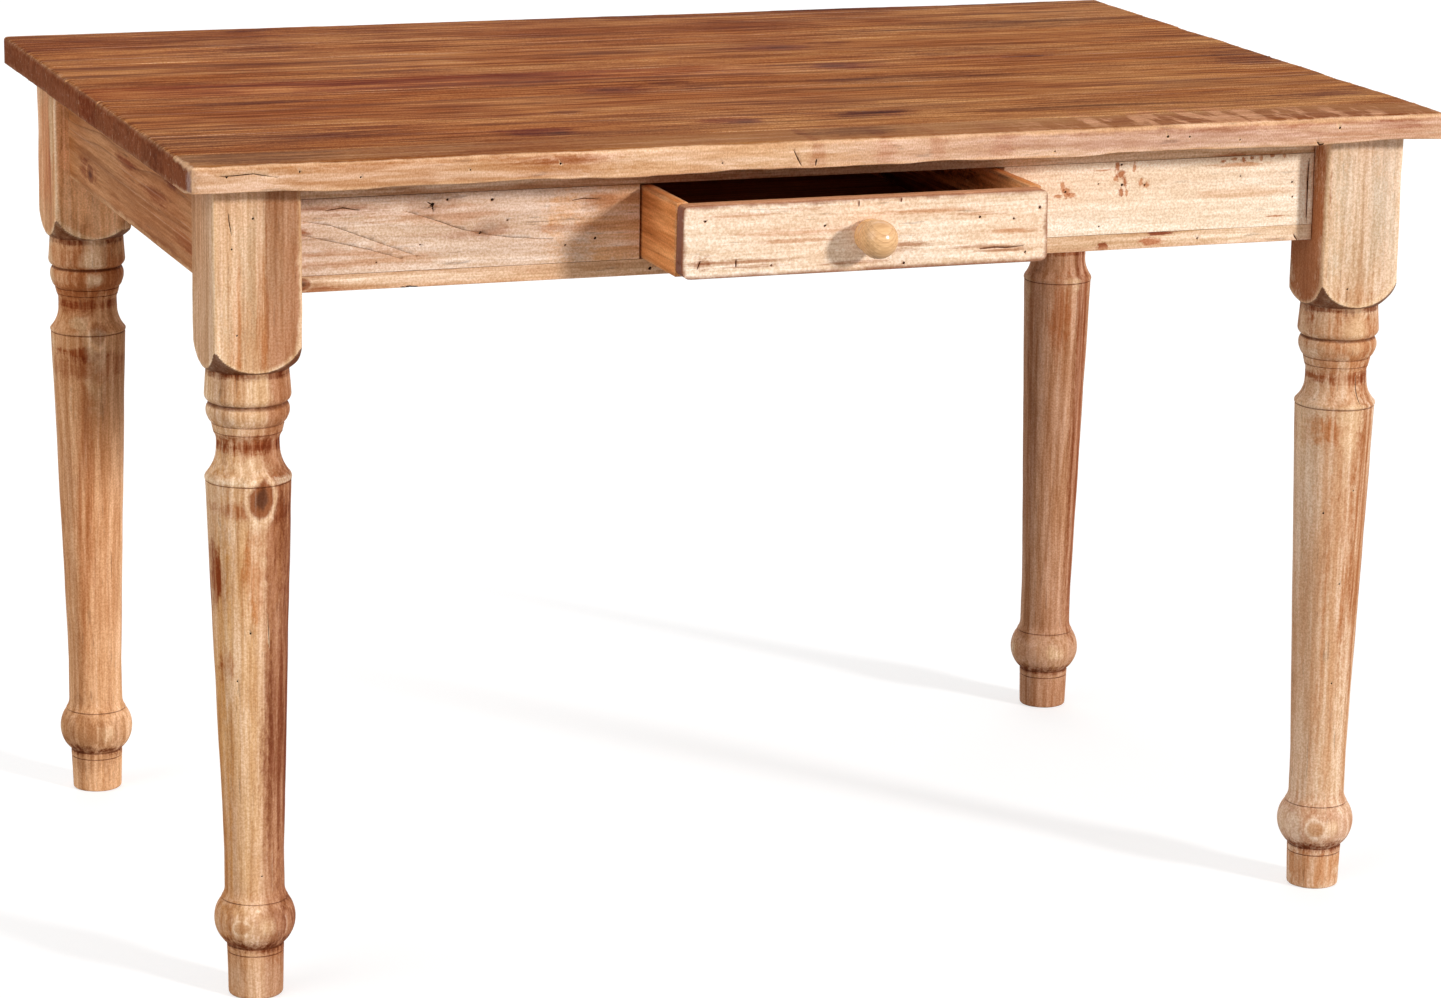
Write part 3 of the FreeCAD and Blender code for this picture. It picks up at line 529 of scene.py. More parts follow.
def block(name, low, high, step):
    """A closed block whose faces are grids."""
    axes = [ticks(low[i], high[i], step) for i in range(3)]
    on_face = np.ones([len(a) for a in axes], bool)
    on_face[1:-1, 1:-1, 1:-1] = False
    index = np.full(on_face.shape, -1)
    index[on_face] = np.arange(on_face.sum())
    grid = np.stack(np.meshgrid(*axes, indexing="ij"), -1)[on_face]
    faces = []
    for axis in range(3):
        for end in (0, -1):
            sheet = np.take(index, end, axis)
            corners = sheet[:-1, :-1], sheet[1:, :-1], sheet[1:, 1:], sheet[:-1, 1:]
            quads = np.stack(corners, -1).reshape(-1, 4)
            turn_over = (end == 0) != (axis == 1)
            faces.append(quads[:, ::-1] if turn_over else quads)
    return into_mesh(name, grid.tolist(), np.concatenate(faces).tolist())


def settle(piece):
    """Keep what a piece's modifier makes as a plain mesh."""
    bpy.context.view_layer.update()
    ready = piece.evaluated_get(bpy.context.evaluated_depsgraph_get())
    before, piece.data = piece.data, bpy.data.meshes.new_from_object(ready)
    piece.modifiers.clear()
    bpy.data.meshes.remove(before)


def apply_tree(piece, tree, crisp=0, **inputs):
    """Run a Geometry Nodes tree on a piece.

    Edges that turn by more than crisp degrees are shaded sharp, if it isn't nought.
    """
    modifier = piece.modifiers.new(tree.name, "NODES")
    modifier.node_group = tree
    sockets = {
        item.name: item.identifier for item in tree.interface.items_tree
        if item.in_out == "INPUT"
    }
    for label, value in inputs.items():
        key = sockets[label.replace("_", " ").capitalize()]
        modifier[key] = value[:] if isinstance(value, Vector) else value
    settle(piece)
    piece.data.shade_smooth()
    if crisp:
        piece.data.set_sharp_from_angle(angle=math.radians(crisp))


made = {}


def stand_in(piece, node, body):
    """Let a piece stand for a node of the frame."""
    made[node] = piece
    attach(piece, body)
    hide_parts(node)


def board(node, body, slot, finish, seed, step=0.006, outer=None, **wear):
    """A worn board in a node's place, as part of an assembly from outer's low to its high."""
    low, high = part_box(node)
    outer_low, outer_high = outer or (low, high)
    piece = block(f"{node}_worn", low, high, step)
    apply_tree(
        piece, worn_tree, low=low, high=high, outer_low=outer_low, outer_high=outer_high,
        seed=float(seed), finish=finish, **(dict(rim=0.0015) | wear),
    )
    stand_in(piece, node, body)


top_low = Vector(map(min, zip(*(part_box(f"top_board_{i}")[0] for i in range(1, 10)))))
top_high = Vector(map(max, zip(*(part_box(f"top_board_{i}")[1] for i in range(1, 10)))))
face = round(top_high.z / mm)
through = 1000  # a reach right through any piece


def on_top(*rows):
    """Patches on the top from rows of (x, y, reach along x and y, tint, strength)."""
    return [(x, y, face, far_x, far_y, through, *look) for x, y, far_x, far_y, *look in rows]


darker, dusky, rusty, paler = (176, 140, 124), (190, 178, 172), (190, 134, 116), (255, 236, 200)
top_boards = {
    1: dict(pith=(0, 330, 700), seed=1.0, red=(200, 140, 94), patches=on_top(
        (-350, 380, 30, 14, darker, 0.9), (300, 385, 400, 20, darker, 0.8),
        (-420, 330, 100, 40, darker, 0.4))),
    2: dict(pith=(0, 200, 710), seed=2.3, patches=on_top(
        (-370, 250, 55, 30, darker, 0.9), (450, 245, 130, 35, dusky, 0.8),
        (270, 230, 70, 4, darker, 1.0))),
    3: dict(pith=(0, 150, 735), seed=3.1, knots=[(135, 142, face, 19)], patches=on_top(
        (120, 140, 50, 26, rusty, 1.0), (200, 160, 30, 16, darker, 0.8),
        (-340, 200, 80, 10, darker, 0.8), (70, 125, 100, 12, darker, 0.7))),
    4: dict(pith=(0, 20, 720), seed=4.2, patches=on_top(
        (480, 98, 120, 10, paler, 0.9), (270, 62, 30, 12, darker, 0.8))),
    5: dict(pith=(0, 10, 715), seed=5.7, knots=[(147, 15, face, 16)], patches=on_top(
        (-350, 10, 500, 70, (226, 186, 160), 0.9), (-300, 30, 400, 20, (236, 206, 184), 0.6),
        (155, 10, 50, 26, rusty, 0.8), (310, 30, 100, 14, rusty, 1.0),
        (360, 28, 30, 9, darker, 1.0), (570, -10, 50, 60, darker, 0.9))),
    6: dict(pith=(0, -90, 720), seed=6.4, knots=[(-118, -78, face, 14)], patches=on_top(
        (220, -75, 120, 34, (190, 170, 162), 0.9), (-120, -75, 45, 30, rusty, 1.0),
        (-50, -50, 30, 18, darker, 0.9), (-30, -80, 30, 16, darker, 0.7),
        (570, -50, 50, 40, darker, 0.9))),
    7: dict(pith=(0, -170, 700), seed=7.9, patches=on_top(
        (-200, -195, 20, 10, darker, 0.8), (100, -130, 100, 12, dusky, 0.8),
        (350, -165, 100, 20, paler, 0.7))),
    8: dict(
        pith=(0, -250, 715), seed=8.8, knots=[(-240, -305, face, 10), (-58, -286, face, 10)],
        scuffs=[(420, -345, face, 240, 45, through, (186, 118, 78), 0.55)], patches=on_top(
            (-260, -290, 40, 30, rusty, 1.0), (-70, -278, 40, 22, rusty, 1.0),
            (70, -273, 55, 18, (150, 108, 96), 1.0), (90, -276, 25, 14, rusty, 1.0),
            (-520, -270, 160, 50, darker, 0.6), (540, -265, 80, 14, darker, 1.0),
            (280, -280, 120, 16, dusky, 0.9))),
    9: dict(
        pith=(0, -332, 757), seed=9.5, light=(232, 195, 164), red=(220, 175, 145),
        streaks=0.13, threads=0.18, specks=0.2, worn=0.9, rings=0.18,
        scuffs=[(400, -375, face, 260, 60, 6, (214, 156, 116), 0.8)], patches=[
            (-30, -400, 757, 10, through, 30, (214, 180, 166), 0.6),
            (35, -400, 757, 12, through, 30, (226, 196, 184), 0.6),
            (85, -400, 757, 10, through, 30, (226, 196, 184), 0.5),
            (150, -400, 757, 18, through, 30, (228, 200, 190), 0.5),
            (-400, -400, 757, 260, through, 30, (229, 211, 186), 1.0),
            (-150, -400, 757, 200, through, 30, (250, 240, 222), 1.0),
            (-540, -360, face, 120, 34, 8, dusky, 0.8),
            (-601, -396, 757, 6, 13, 30, (188, 158, 150), -0.8),
            (20, -360, face, 60, 30, 10, dusky, 0.9),
            (400, -380, face, 220, 50, 10, (220, 184, 166), 0.8),
            (-260, -400, 762, 50, 20, 5, (200, 160, 140), 0.8),
            (300, -400, 757, 200, 20, 12, (230, 220, 226), 0.8),
            (520, -400, 757, 130, 20, 30, (240, 228, 222), 1.0),
            (545, -400, 762, 35, 20, 6, (200, 164, 150), 0.9),
        ]),
}
redder = [(-200, 0, face, 450, 600, 10, (246, 232, 226), 1.0),
          (-600, 0, face, 400, 600, 10, (240, 223, 200), 1.0),
          (0, 360, face, 800, 120, 10, (246, 237, 232), 1.0)]
for index, looks in top_boards.items():
    looks["patches"] += redder
    stained = dict(
        light=(250, 204, 153), dark=(142, 80, 44), red=(222, 162, 110), stain=(190, 157, 116),
        bare=(236, 190, 150), end=(146, 84, 54), streaks=0.74, threads=0.62, specks=0.44,
        scratches=0.3, worn=0.15, shine=0.62, gloss=0.008, coarse=1.6, short=1.5, knot_rim=0.0,
        knot_colours=((122, 62, 36), (78, 36, 20)),
    )
    board(
        f"top_board_{index}", "table", "top_wood",
        pine(f"stained_pine_{index}", "X", **stained | looks), looks["seed"], arris=0.00025,
        outer=(top_low, top_high), rim=0.0032, corner=0.010, wave=0.0035 if index == 9 else 0.0,
        wear=1.1, hollow=0.0007,
    )

# ---------------------------------------------------------------- the legs

# Each leg is turned from one square post and left square at the head, where the lathe cut
# an arch into every face. The front left one was cut a little higher at the ball.
square_half, square_arris, square_bevel = 0.040, 0.003, 0.012


def leg_profile(waist, top=38.4):
    """The turned outline from the floor up, as (radius, height, swell to the next) in mm.

    waist is the cove's radius and top that of the shaft's upper end.
    """
    return (
        (0, 0), (22.5, 0, 0.9), (25.2, 3), (26.1, 33.4), (25.1, 34.2), (26.2, 35), (26.4, 40),
        (25.3, 41), (26.2, 42, 8.6), (30.7, 84), (29.6, 84.7), (30.5, 85.4, -0.9), (27.4, 96),
        (27.2, 136), (top, 477), (top - 0.9, 477.7), (top + 0.4, 478.6, 0.5),
        (top - 0.2, 483, -2.2), (waist + 0.4, 506, -0.12), (waist + 0.2, 514, -0.6),
        (30.9, 521.2), (30.2, 521.8),
        (31.2, 522.7), (32.5, 528.7), (31.8, 529.5), (32.8, 530.3, 0.4), (35.8, 534.8, 0.4),
        (37.4, 541, 0.6), (35.4, 547.4), (34.5, 548.2), (35.6, 549.2, 0.8), (38.8, 555),
        (37.2, 578.5, 5.5), (58.0, 616), (58.0, 743), (0, 743),
    )


def turned_line(profile, marks=((0, 0), (1000, 1000)), step=0.0015):
    """Points up a turned outline in metres: straight runs, and arcs for those with a swell.

    marks says what height in the profile comes out at what height on this piece, in mm.
    """
    line = []
    for here, after in zip(profile, profile[1:]):
        start, end = (
            np.array((stop[0], np.interp(stop[1], *zip(*marks)))) / 1000 for stop in (here, after)
        )
        swell = here[2] / 1000 if len(here) == 3 else 0
        chord = np.linalg.norm(end - start)
        coarse = 4 if chord > 0.06 else 1
        coarse = 0.55 if swell > 0.005 and start[1] > 0.5 else coarse
        count = max(2, math.ceil(chord / step / coarse))
        t = np.linspace(0, 1, count + 1)[:-1]
        if count > 4 and not swell:
            t = np.concatenate([[0, 0.0004 / chord, 0.001 / chord], t[1:], [1 - 0.0004 / chord]])
        run = start + np.outer(t, end - start)
        if swell:
            out = np.array([end[1] - start[1], start[0] - end[0]]) / chord
            radius = (chord ** 2 / 4 + swell ** 2) / (2 * abs(swell))
            off = (t - 0.5) * chord
            bow = np.sqrt(radius ** 2 - off ** 2) - (radius - abs(swell))
            run = run + np.outer(bow * np.sign(swell), out)
        line.extend(run)
    line.append(np.array(profile[-1][:2]) / 1000)
    return np.array(line)


def lathe(name, line, turns, crowd=0.0):
    """A closed turned shape. crowd draws its points towards the corners of a square."""
    line = line[np.concatenate([[True], np.abs(np.diff(line, axis=0)).sum(1) > 1e-6])]
    angle = np.arange(turns) / turns * 2 * np.pi
    angle = angle + crowd * np.sin(4 * angle)
    radius, height = line[1:-1, :1], line[1:-1, 1:]
    rings = np.stack([
        radius * np.cos(angle), radius * np.sin(angle), np.repeat(height, turns, 1),
    ], -1).reshape(-1, 3)
    points = np.concatenate([rings, [[0, 0, line[0, 1]], [0, 0, line[-1, 1]]]])
    low, high = len(points) - 2, len(points) - 1
    a = np.arange(turns)
    b = (a + 1) % turns
    last = len(rings) - turns
    quads = [
        np.stack([a + k, b + k, b + k + turns, a + k + turns], -1) for k in range(0, last, turns)
    ]
    faces = np.concatenate(quads).tolist()
    faces += [(low, int(q), int(p)) for p, q in zip(a, b)]
    faces += [(high, int(p) + last, int(q) + last) for p, q in zip(a, b)]
    return into_mesh(name, points.tolist(), faces)


# Deep rings are marked to be darkened, for dirt and for painted shade; proud ones to be lightened
# as worn.
def mark_dirt_shade_and_wear(piece, line, reach=0.004, deepest=0.0008, proudest=0.0007, widest=0.043):
    """Store how deep each ring of a turned piece lies between its neighbours, or how proud."""
    radius, height = np.minimum(line[:, 0], widest), line[:, 1]
    above = height[None] - height[:, None]
    deep = np.minimum(*(
        np.where((side >= 0) & (side < reach), radius[None], 0).max(1) for side in (above, -above)
    )) - radius
    near = abs(above) < reach
    proud = radius - np.where(near, radius[None], 0).sum(1) / near.sum(1)
    value = np.clip(deep / deepest, 0, 1)
    value -= np.clip(proud / proudest, 0, 1) * (radius < widest - mm) * (value < 0.3)
    place = np.empty(len(piece.data.vertices) * 3)
    piece.data.vertices.foreach_get("co", place)
    order = np.argsort(height, kind="stable")
    value = np.interp(place[2::3], height[order], value[order])
    piece.data.attributes.new("dirt_shade_and_wear", "FLOAT", "POINT").data.foreach_set("value", value)


# This tree cuts the turned shape down to the square post, takes off the inner corner where
# the bolt goes in, and wears the arrises.
leg_tree, nodes, given = new_group(
    "turned_leg", "GeometryNodeTree", leg="Geometry", half=0.04, arris=0.003, bevel=0.012,
    inner_corner=(1, 1, 0), lean=origin, foot=origin, wear=0.0006, seed=0.0, finish="Material",
)
place = nodes.put("GeometryNodeInputPosition")
height = place.split()[2]
flat = place * (1, 1, 0)
turned = flat.do("LENGTH").do("MAXIMUM", 1e-6)
ray = flat.do("NORMALIZE")
x, y, _ = ray.do("ABSOLUTE").split()
large = x.do("MAXIMUM", y).do("MAXIMUM", 1e-6)
small = x.do("MINIMUM", y)
to_flat = given.half / large
drifted = place + given.seed * (1, 1, 0)
arris = (drifted * (1, 1, 0.5)).noise(30, 2).step(0.3, 0.75, 0.7, 2.0) * given.arris
middle = given.half - arris
along = middle * (large + small)
inside = along * along + arris * arris - middle * middle * 2.0
to_arris = along + inside.do("MAXIMUM", 0.0).do("SQRT")
on_flat = (to_flat * small).do("LESS_THAN", middle)
to_square = nodes.put("GeometryNodeSwitch", (on_flat, to_arris, to_flat), input_type="FLOAT")
inner = ray.do("DOT_PRODUCT", given.inner_corner.do("NORMALIZE")).do("MAXIMUM", 1e-3)
cut_at = given.half * 1.41421 - given.bevel * 0.70711
to_square = to_square.do("MINIMUM", cut_at / inner)
dents = (drifted * (1, 1, 0.35)).noise(42, 2).step(0.35, 0.75) * given.wear
bow = (drifted * (0.2, 0.2, 1)).noise(4, 1) * given.wear
radius = turned.do("SMOOTH_MIN", to_square, 0.0002) - dents - bow
lean = given.lean * height.step(0.55, 0.0)
moved = ray * radius + lean + (nodes.join(0.0, 0.0, height) + given.foot)
on_lathe = 1.0 - turned.do("GREATER_THAN", to_square)
to_corner = given.half - to_flat * small + on_lathe
edge = (turned - to_square).do("ABSOLUTE").do("MINIMUM", to_corner)
# Just under the head's arches the turned surface is marked to be darkened too: painted shade, with
# some dirt.
under_head = turned.step(0.0376, 0.0388) * on_lathe * height.do("GREATER_THAN", 0.57)
hollows = nodes.put("GeometryNodeInputNamedAttribute", {"Name": "dirt_shade_and_wear"}, data_type="FLOAT")
marked = store(nodes, given.leg, "edge", edge)
marked = store(nodes, marked, "dirt_shade_and_wear", hollows.do("MAXIMUM", under_head))
give_mesh(nodes, marked, given.finish, moved)

umber, honey, chalk = (194, 146, 116), (228, 190, 156), (240, 206, 166)
leg_looks = {
    "leg_front_left": dict(
        marks=((0, 0), (30, 37), (97, 104), (136, 136), (743, 743)),
        girth=(28.3,), lean=3, pith=(-490, -350, 0), seed=11.0, heart=(40.5, (214, 192, 180)),
        wander=10, knot_depth=0.95, knot_rim=0.8,
        knots=[(-530, -362, 467, 11), (-552, -362, 71, 8.5, 1.2),
               (-543.5, -368, 533.5, 4.2, 1.1), (-531, -369, 533.5, 4.2, 1.1)],
        patches=[
            (-550, -370, 456, 22, through, 9, umber, 0.9),
            (-512, -360, 455, 14, through, 14, umber, 0.8),
            (-536, -370, 400, 12, through, 60, honey, 1.0),
            (-566, -350, 390, 7, through, 40, (170, 110, 84), 1.0),
            (-558, -360, 315, 6, through, 16, umber, 1.0),
            (-500, -350, 280, 34, through, 260, (182, 143, 131), 1.0),
            (-552, -370, 620, 7, through, 70, honey, 0.9),
            (-529, -370, 640, 6, through, 90, honey, 0.9),
            # Darker under the bead: painted shade, with some dirt.
            (-533, -360, 514, 50, through, 11, umber, 1.0),
            (-564, -350, 250, 12, through, 300, (252, 236, 202), 1.0),
            (-548, -360, 260, 20, through, 280, (255, 249, 231), 1.0),
            (-533, -370, 670, 50, 10, 100, (243, 250, 255), 1.0),
            (-533, -370, 16, 50, through, 24, (228, 194, 164), -0.35),
            (-533, -360, 70, 60, through, 34, (240, 233, 237), 1.0),
            (-533, -370, 481.5, 50, through, 4.5, (250, 226, 196), -0.7),
            (-538, -370, 492, 20, through, 12, chalk, -0.6),
        ],
    ),
    "leg_front_right": dict(
        marks=((0, 0), (136, 136), (477, 480.5), (479, 483), (483, 485.5), (506, 505),
               (530, 528.5), (549, 549), (616, 618), (743, 743)),
        girth=(29.4,), lean=0.5, pith=(560, -300, 0), seed=12.4, ring=9, rings=0.13,
        light=(244, 213, 184), red=(232, 196, 162), streaks=0.10, threads=0.14, fibres=0.08,
        scratches=0, knots=[(518, -362, 64, 10, 1.05)], knot_rim=0.7,
        patches=[
            (512, -360, 300, 12, through, 400, honey, 0.5),
            (533, -360, 20, 50, through, 34, (228, 196, 168), 1.0),
            (548, -360, 340, 22, through, 180, (218, 188, 164), 1.0),
            (530, -360, 400, 20, through, 500, (230, 202, 176), 0.8),
            (556, -360, 300, 14, through, 340, (222, 190, 160), 0.8),
            (533, -370, 670, 50, 10, 100, (240, 249, 255), 1.0),
            (533, -360, 545, 60, 60, 60, (232, 205, 182), 1.0),
            (533, -360, 64, 60, through, 34, (238, 224, 222), 1.0),
            # The head's inner left face is darkened: a stain, and painted shade under the top.
            (491, -327, 660, 11, 60, 130, (200, 156, 128), 1.2),
            (520, -360, 460, 30, through, 18, honey, 1.0),
        ],
    ),
    "leg_back_left": dict(
        marks=((0, 0), (136, 136), (477, 479.5), (479, 482), (483, 484.5), (506, 506),
               (530, 526), (549, 548), (743, 743)),
        girth=(29.4, 37.6), lean=2, pith=(-500, 360, 0), seed=13.6, light=(240, 190, 146),
        red=(212, 155, 108), knot_depth=0.45, knots=[(-529, 289, 487, 10)],
        patches=[
            (-535, 290, 60, 50, through, 50, (223, 217, 214), 1.0),
            (-535, 290, 300, 50, through, 220, (246, 240, 238), 1.0),
            (-535, 290, 535, 60, through, 50, (222, 190, 168), 1.0),
            (-573, 327, 670, 4, 50, 80, (246, 217, 200), 1.0),
            # Painted light: the head's front, in shade under the top, is painted lighter.
            (-530, 287, 670, 60, 10, 100, (255, 194, 144), -0.9),
            (-573, 300, 690, 2, 14, 60, chalk, -0.9),
            (-573, 310, 640, 2, 8, 50, (196, 120, 84), -0.7),
            (-543, 290, 462, 30, through, 9, umber, 1.0),
            (-530, 290, 448, 50, through, 16, umber, 0.6),
            (-545, 290, 300, 10, through, 220, honey, 0.5),
            (-548, 280, 492, 10, through, 10, chalk, -0.7),
        ],
    ),
    "leg_back_right": dict(
        marks=((0, 0), (743, 743)), girth=(29.5, 36.4), lean=-1.5, pith=(580, 360, 0),
        seed=14.9, heart=(45, (238, 216, 202)), light=(212, 163, 128), red=(194, 142, 108),
        dark=(132, 82, 54), streaks=0.4, threads=0.36,
        patches=[
            (533, 290, 60, 50, through, 34, (226, 182, 146), -0.5),
            (550, 290, 350, 10, through, 400, umber, 0.9),
            (525, 290, 440, 16, through, 50, honey, 0.9),
        ],
    ),
}
for node, looks in leg_looks.items():
    low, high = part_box(node)
    foot = Vector(((low.x + high.x) / 2, (low.y + high.y) / 2, 0))
    marks, girth, lean = (looks.pop(key) for key in ("marks", "girth", "lean"))
    # Painted shade: darker bands just under the head, at the top of the cove under the bead, and
    # on the underside of the ball.
    looks["patches"] += [
        (foot.x / mm, foot.y / mm, np.interp(height, *zip(*marks)), 60, 60, tall, tint, 1.0)
        for height, tall, tint in (
            (577, 7, (158, 112, 88)), (511, 7, (194, 150, 124)), (45, 8, (162, 116, 90)))
    ]
    line = turned_line(leg_profile(*girth), marks)
    piece = lathe(f"{node}_turned", line, 160, crowd=0.15)
    mark_dirt_shade_and_wear(piece, line)
    turned_pine = dict(
        light=(234, 194, 156), dark=(160, 98, 62), red=(211, 159, 118), bare=(244, 208, 168),
        wander=16, ring=6.5, rings=0.28, streaks=0.32, fibres=0.11, scratches=0.15, dirt_shade_and_wear=0.85,
        worn=0.7, gloss=0.04,
    )
    apply_tree(
        piece, leg_tree, crisp=22, half=square_half, arris=square_arris, bevel=square_bevel,
        inner_corner=(-math.copysign(1, foot.x), -math.copysign(1, foot.y), 0.0),
        lean=(lean * mm, 0.0, 0.0), foot=foot, wear=0.0006, seed=looks["seed"],
        finish=pine(f"pine_{node}", "Z", **turned_pine | looks),
    )
    stand_in(piece, node, "table")

# Cracks and worm holes are cut into a piece where they are wanted. Each is given roughly and
# is brought to the nearest place on the piece's surface.
inside_wood, nodes, place = new_material("inside_the_wood")
nodes.finish({
    "Base Color": nodes.mix(place.noise(300), colour(58, 28, 16), colour(104, 58, 34)),
    "Roughness": 0.8, "Specular IOR Level": 0.1,
})


def tube(sections):
    """Points and faces of a closed tube through rings of equally many points."""
    count = len(sections[0])
    points = [p for section in sections for p in section]
    faces = [tuple(reversed(range(count)))]
    for ring in range(len(sections) - 1):
        for k in range(count):
            a, b = ring * count + k, ring * count + (k + 1) % count
            faces.append((a, b, b + count, a + count))
    faces.append(tuple(range(len(points) - count, len(points))))
    return points, faces


def worm_hole(piece, place, radius):
    """The shape of a worm hole: a short round bore that narrows."""
    _, at, out, _ = piece.closest_point_on_mesh(place)
    side = out.orthogonal().normalized()
    other = out.cross(side) * 0.8
    return tube([[
        at - out * depth + (side * math.cos(a) + other * math.sin(a)) * radius * size
        for a in np.arange(8) / 8 * 2 * math.pi
    ] for depth, size in ((-0.001, 1.0), (0.0012, 0.9), (0.0040, 0.5))])


def crack(piece, width, stops):
    """The shape of a crack: a wedge that runs through its stops and fades at both ends."""
    along = [start.lerp(end, t) for start, end in zip(stops, stops[1:]) for t in (0, 0.33, 0.67)]
    found = [piece.closest_point_on_mesh(p)[1:3] for p in (*along, stops[-1])]
    rings = []
    for index, (at, out) in enumerate(found):
        before, after = found[max(index - 1, 0)][0], found[min(index + 1, len(found) - 1)][0]
        side = out.cross(after - before).normalized()
        share = math.sin(math.pi * (index + 0.25) / (len(found) - 0.5)) ** 0.7
        half = width / 2 * share * (1.0 if index % 2 else 0.75)
        rings.append([
            at + out * 0.0006 + side * half, at + out * 0.0006 - side * half,
            at - out * (0.0015 + 0.002 * share) - side * half * 0.2,
        ])
    return tube(rings)


def carve(piece, *shapes):
    """Cut closed shapes, as lists of points and faces, out of a piece."""
    points, faces = [], []
    for more_points, more_faces in shapes:
        faces += [tuple(len(points) + k for k in face) for face in more_faces]
        points += more_points
    cutter = into_mesh("cutter", points, faces)
    cutter.data.materials.append(inside_wood)
    cleaned = bmesh.new()
    cleaned.from_mesh(cutter.data)
    bmesh.ops.recalc_face_normals(cleaned, faces=cleaned.faces)
    cleaned.to_mesh(cutter.data)
    cleaned.free()
    modifier = piece.modifiers.new("carve", "BOOLEAN")
    modifier.object = cutter
    modifier.solver = "MANIFOLD"
    modifier.material_mode = "TRANSFER"
    settle(piece)
    bpy.data.objects.remove(cutter)


def scars(node, y, holes=(), cracks=()):
    """Carve worm holes (x, z, radius) and cracks (width, (x, z), ...) at a depth y, in mm."""
    piece = made[node]
    carve(
        piece, *(worm_hole(piece, Vector((x, y, z)) * mm, radius * mm) for x, z, radius in holes),
        *(crack(piece, width * mm, [Vector((x, y, z)) * mm for x, z in stops])
          for width, *stops in cracks),
    )


scars("top_board_9", -400, holes=[
    (-568, 760, 1.1), (-504, 762, 1.0), (-450, 755, 1.0), (-352, 757, 0.9), (-270, 759, 1.2),
    (-120, 753, 0.8), (200, 750, 0.9), (312, 759, 1.5), (334, 758, 1.1), (385, 753, 0.9),
    (487, 760, 1.4),
], cracks=[
    (1.3, (-575, 761), (-562, 761), (-545, 762), (-524, 758)),
    (1.6, (-53, 762), (-49, 754), (-45, 747)),
    (2.2, (-31, 753), (-32, 747)),
    (3.5, (464, 748), (468, 743.5), (471, 746)),
])
scars("leg_front_left", -365, holes=[
    (-537, 717, 1.2), (-556, 691, 1.0), (-552, 615, 0.9), (-542, 345, 1.0), (-560, 300, 0.9),
    (-530, 118, 0.9),
], cracks=[(1.1, (-559, 723), (-558, 714), (-556, 703)), (0.9, (-524, 360), (-522, 330))])
scars("leg_front_right", -365, holes=[
    (520, 600, 1.0), (505, 380, 1.1), (530, 310, 0.9), (540, 402, 0.9), (528, 210, 0.9),
], cracks=[(1.3, (541, 514), (541.5, 505), (542, 496), (542, 487))])

# ---------------------------------------------------------------- the front apron

# One board ripped in three and glued up again round the drawer's opening: a rail above, a
# rail below and a piece at either side. The glue lines show.
front = -341


def on_front(y, *rows):
    """Patches on an upright face at y from rows of (x, z, reach along x and z, tint, strength)."""
    return [(x, y, z, far_x, through, far_z, *look) for x, z, far_x, far_z, *look in rows]


rust, rubbed = ((192, 142, 112), 1.3), ((216, 176, 150), 1.3)
front_pieces = {
    "front_rail_bottom": dict(seed=21.0, knots=[(-488, front, 652, 5)], patches=on_front(
        front, (-475, 646, 40, 4, umber, 0.8), (-440, 650, 220, 20, (242, 230, 224), 1.0),
        (336, 658, 14, 2.2, (176, 122, 108), 3), (278, 648, 7, 4, (176, 124, 100), 2),
        (327, 650, 14, 4, (220, 176, 156), 1.5))),
    "front_rail_top": dict(seed=22.5, patches=on_front(
        front, (425, 724, 50, 6, umber, 0.9), (-300, 728, 300, 12, umber, 0.6))),
    "front_apron_left": dict(
        knots=[(-369, front, 722, 16), (-317, front, 694, 10), (-215, front, 712, 11)],
        knot_depth=0.25, knot_rim=0.1, seed=23.7, light=(240, 212, 188), dark=(130, 78, 54),
        red=(222, 188, 164), wander=75, streaks=0.16, threads=0.16, fibres=0.10, ring=13,
        rings=0.9, specks=0.22, patches=on_front(
            front, (-450, 716, 40, 6, umber, 0.6), (-360, 708, 70, 10, honey, 0.6),
            (-330, 690, 50, 5, umber, 0.4), (-240, 690, 50, 5, umber, 0.4),
            (-210, 715, 30, 8, umber, 0.4), (-490, 697, 12, 6, umber, 1.0),
            (-440, 672, 90, 12, honey, 0.6), (-500, 690, 100, 60, (240, 232, 226), 1.0),
            # Painted shade: where the drawer's shadow falls, the wood is tinted a darker, warmer
            # brown.
            (-190, 690, 70, 70, (250, 220, 182), 1.0))),
    # This piece is paler than the left one: partly its own tone, partly painted light from the
    # lamp at the right.
    "front_apron_right": dict(
        seed=24.1, light=(255, 236, 212), red=(250, 222, 192), streaks=0.08, threads=0.10,
        fibres=0.08, rings=0.15, dashes=0.3, patches=on_front(
            front, (235, 706, 3, 6, *rubbed), (239, 700, 4, 6, *rubbed),
            (244, 697.5, 5, 3, *rubbed), (230, 697, 5, 2, *rubbed), (290, 722.5, 3, 6, *rust),
            (294, 715, 5, 5, *rust), (289, 711, 3, 4, *rubbed), (298, 707.5, 3, 5, *rust),
            (276, 719.5, 13, 1.1, *rubbed), (294, 698.5, 3, 6, *rust),
            (300, 697.5, 2, 4, *rubbed), (314, 706.5, 3, 4, *rubbed), (320, 704, 4, 3, *rubbed),
            (307, 721, 2, 6, *rubbed), (415, 719, 40, 2.2, (230, 198, 176), 1.3),
            (398, 722.5, 3, 2, *rust), (409, 724, 4, 2, *rubbed), (419, 722.8, 3, 3, *rust),
            (428, 724.8, 3, 2, *rust), (437, 724, 2, 4, *rubbed), (448, 725.6, 3, 2, *rust),
            (461, 725.8, 2, 3, *rubbed), (455, 668.5, 11, 1.0, (214, 172, 148), 2),
            (420, 692, 60, 6, honey, 0.5))),
}
front_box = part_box("front_rail_bottom")[0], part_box("front_rail_top")[1]
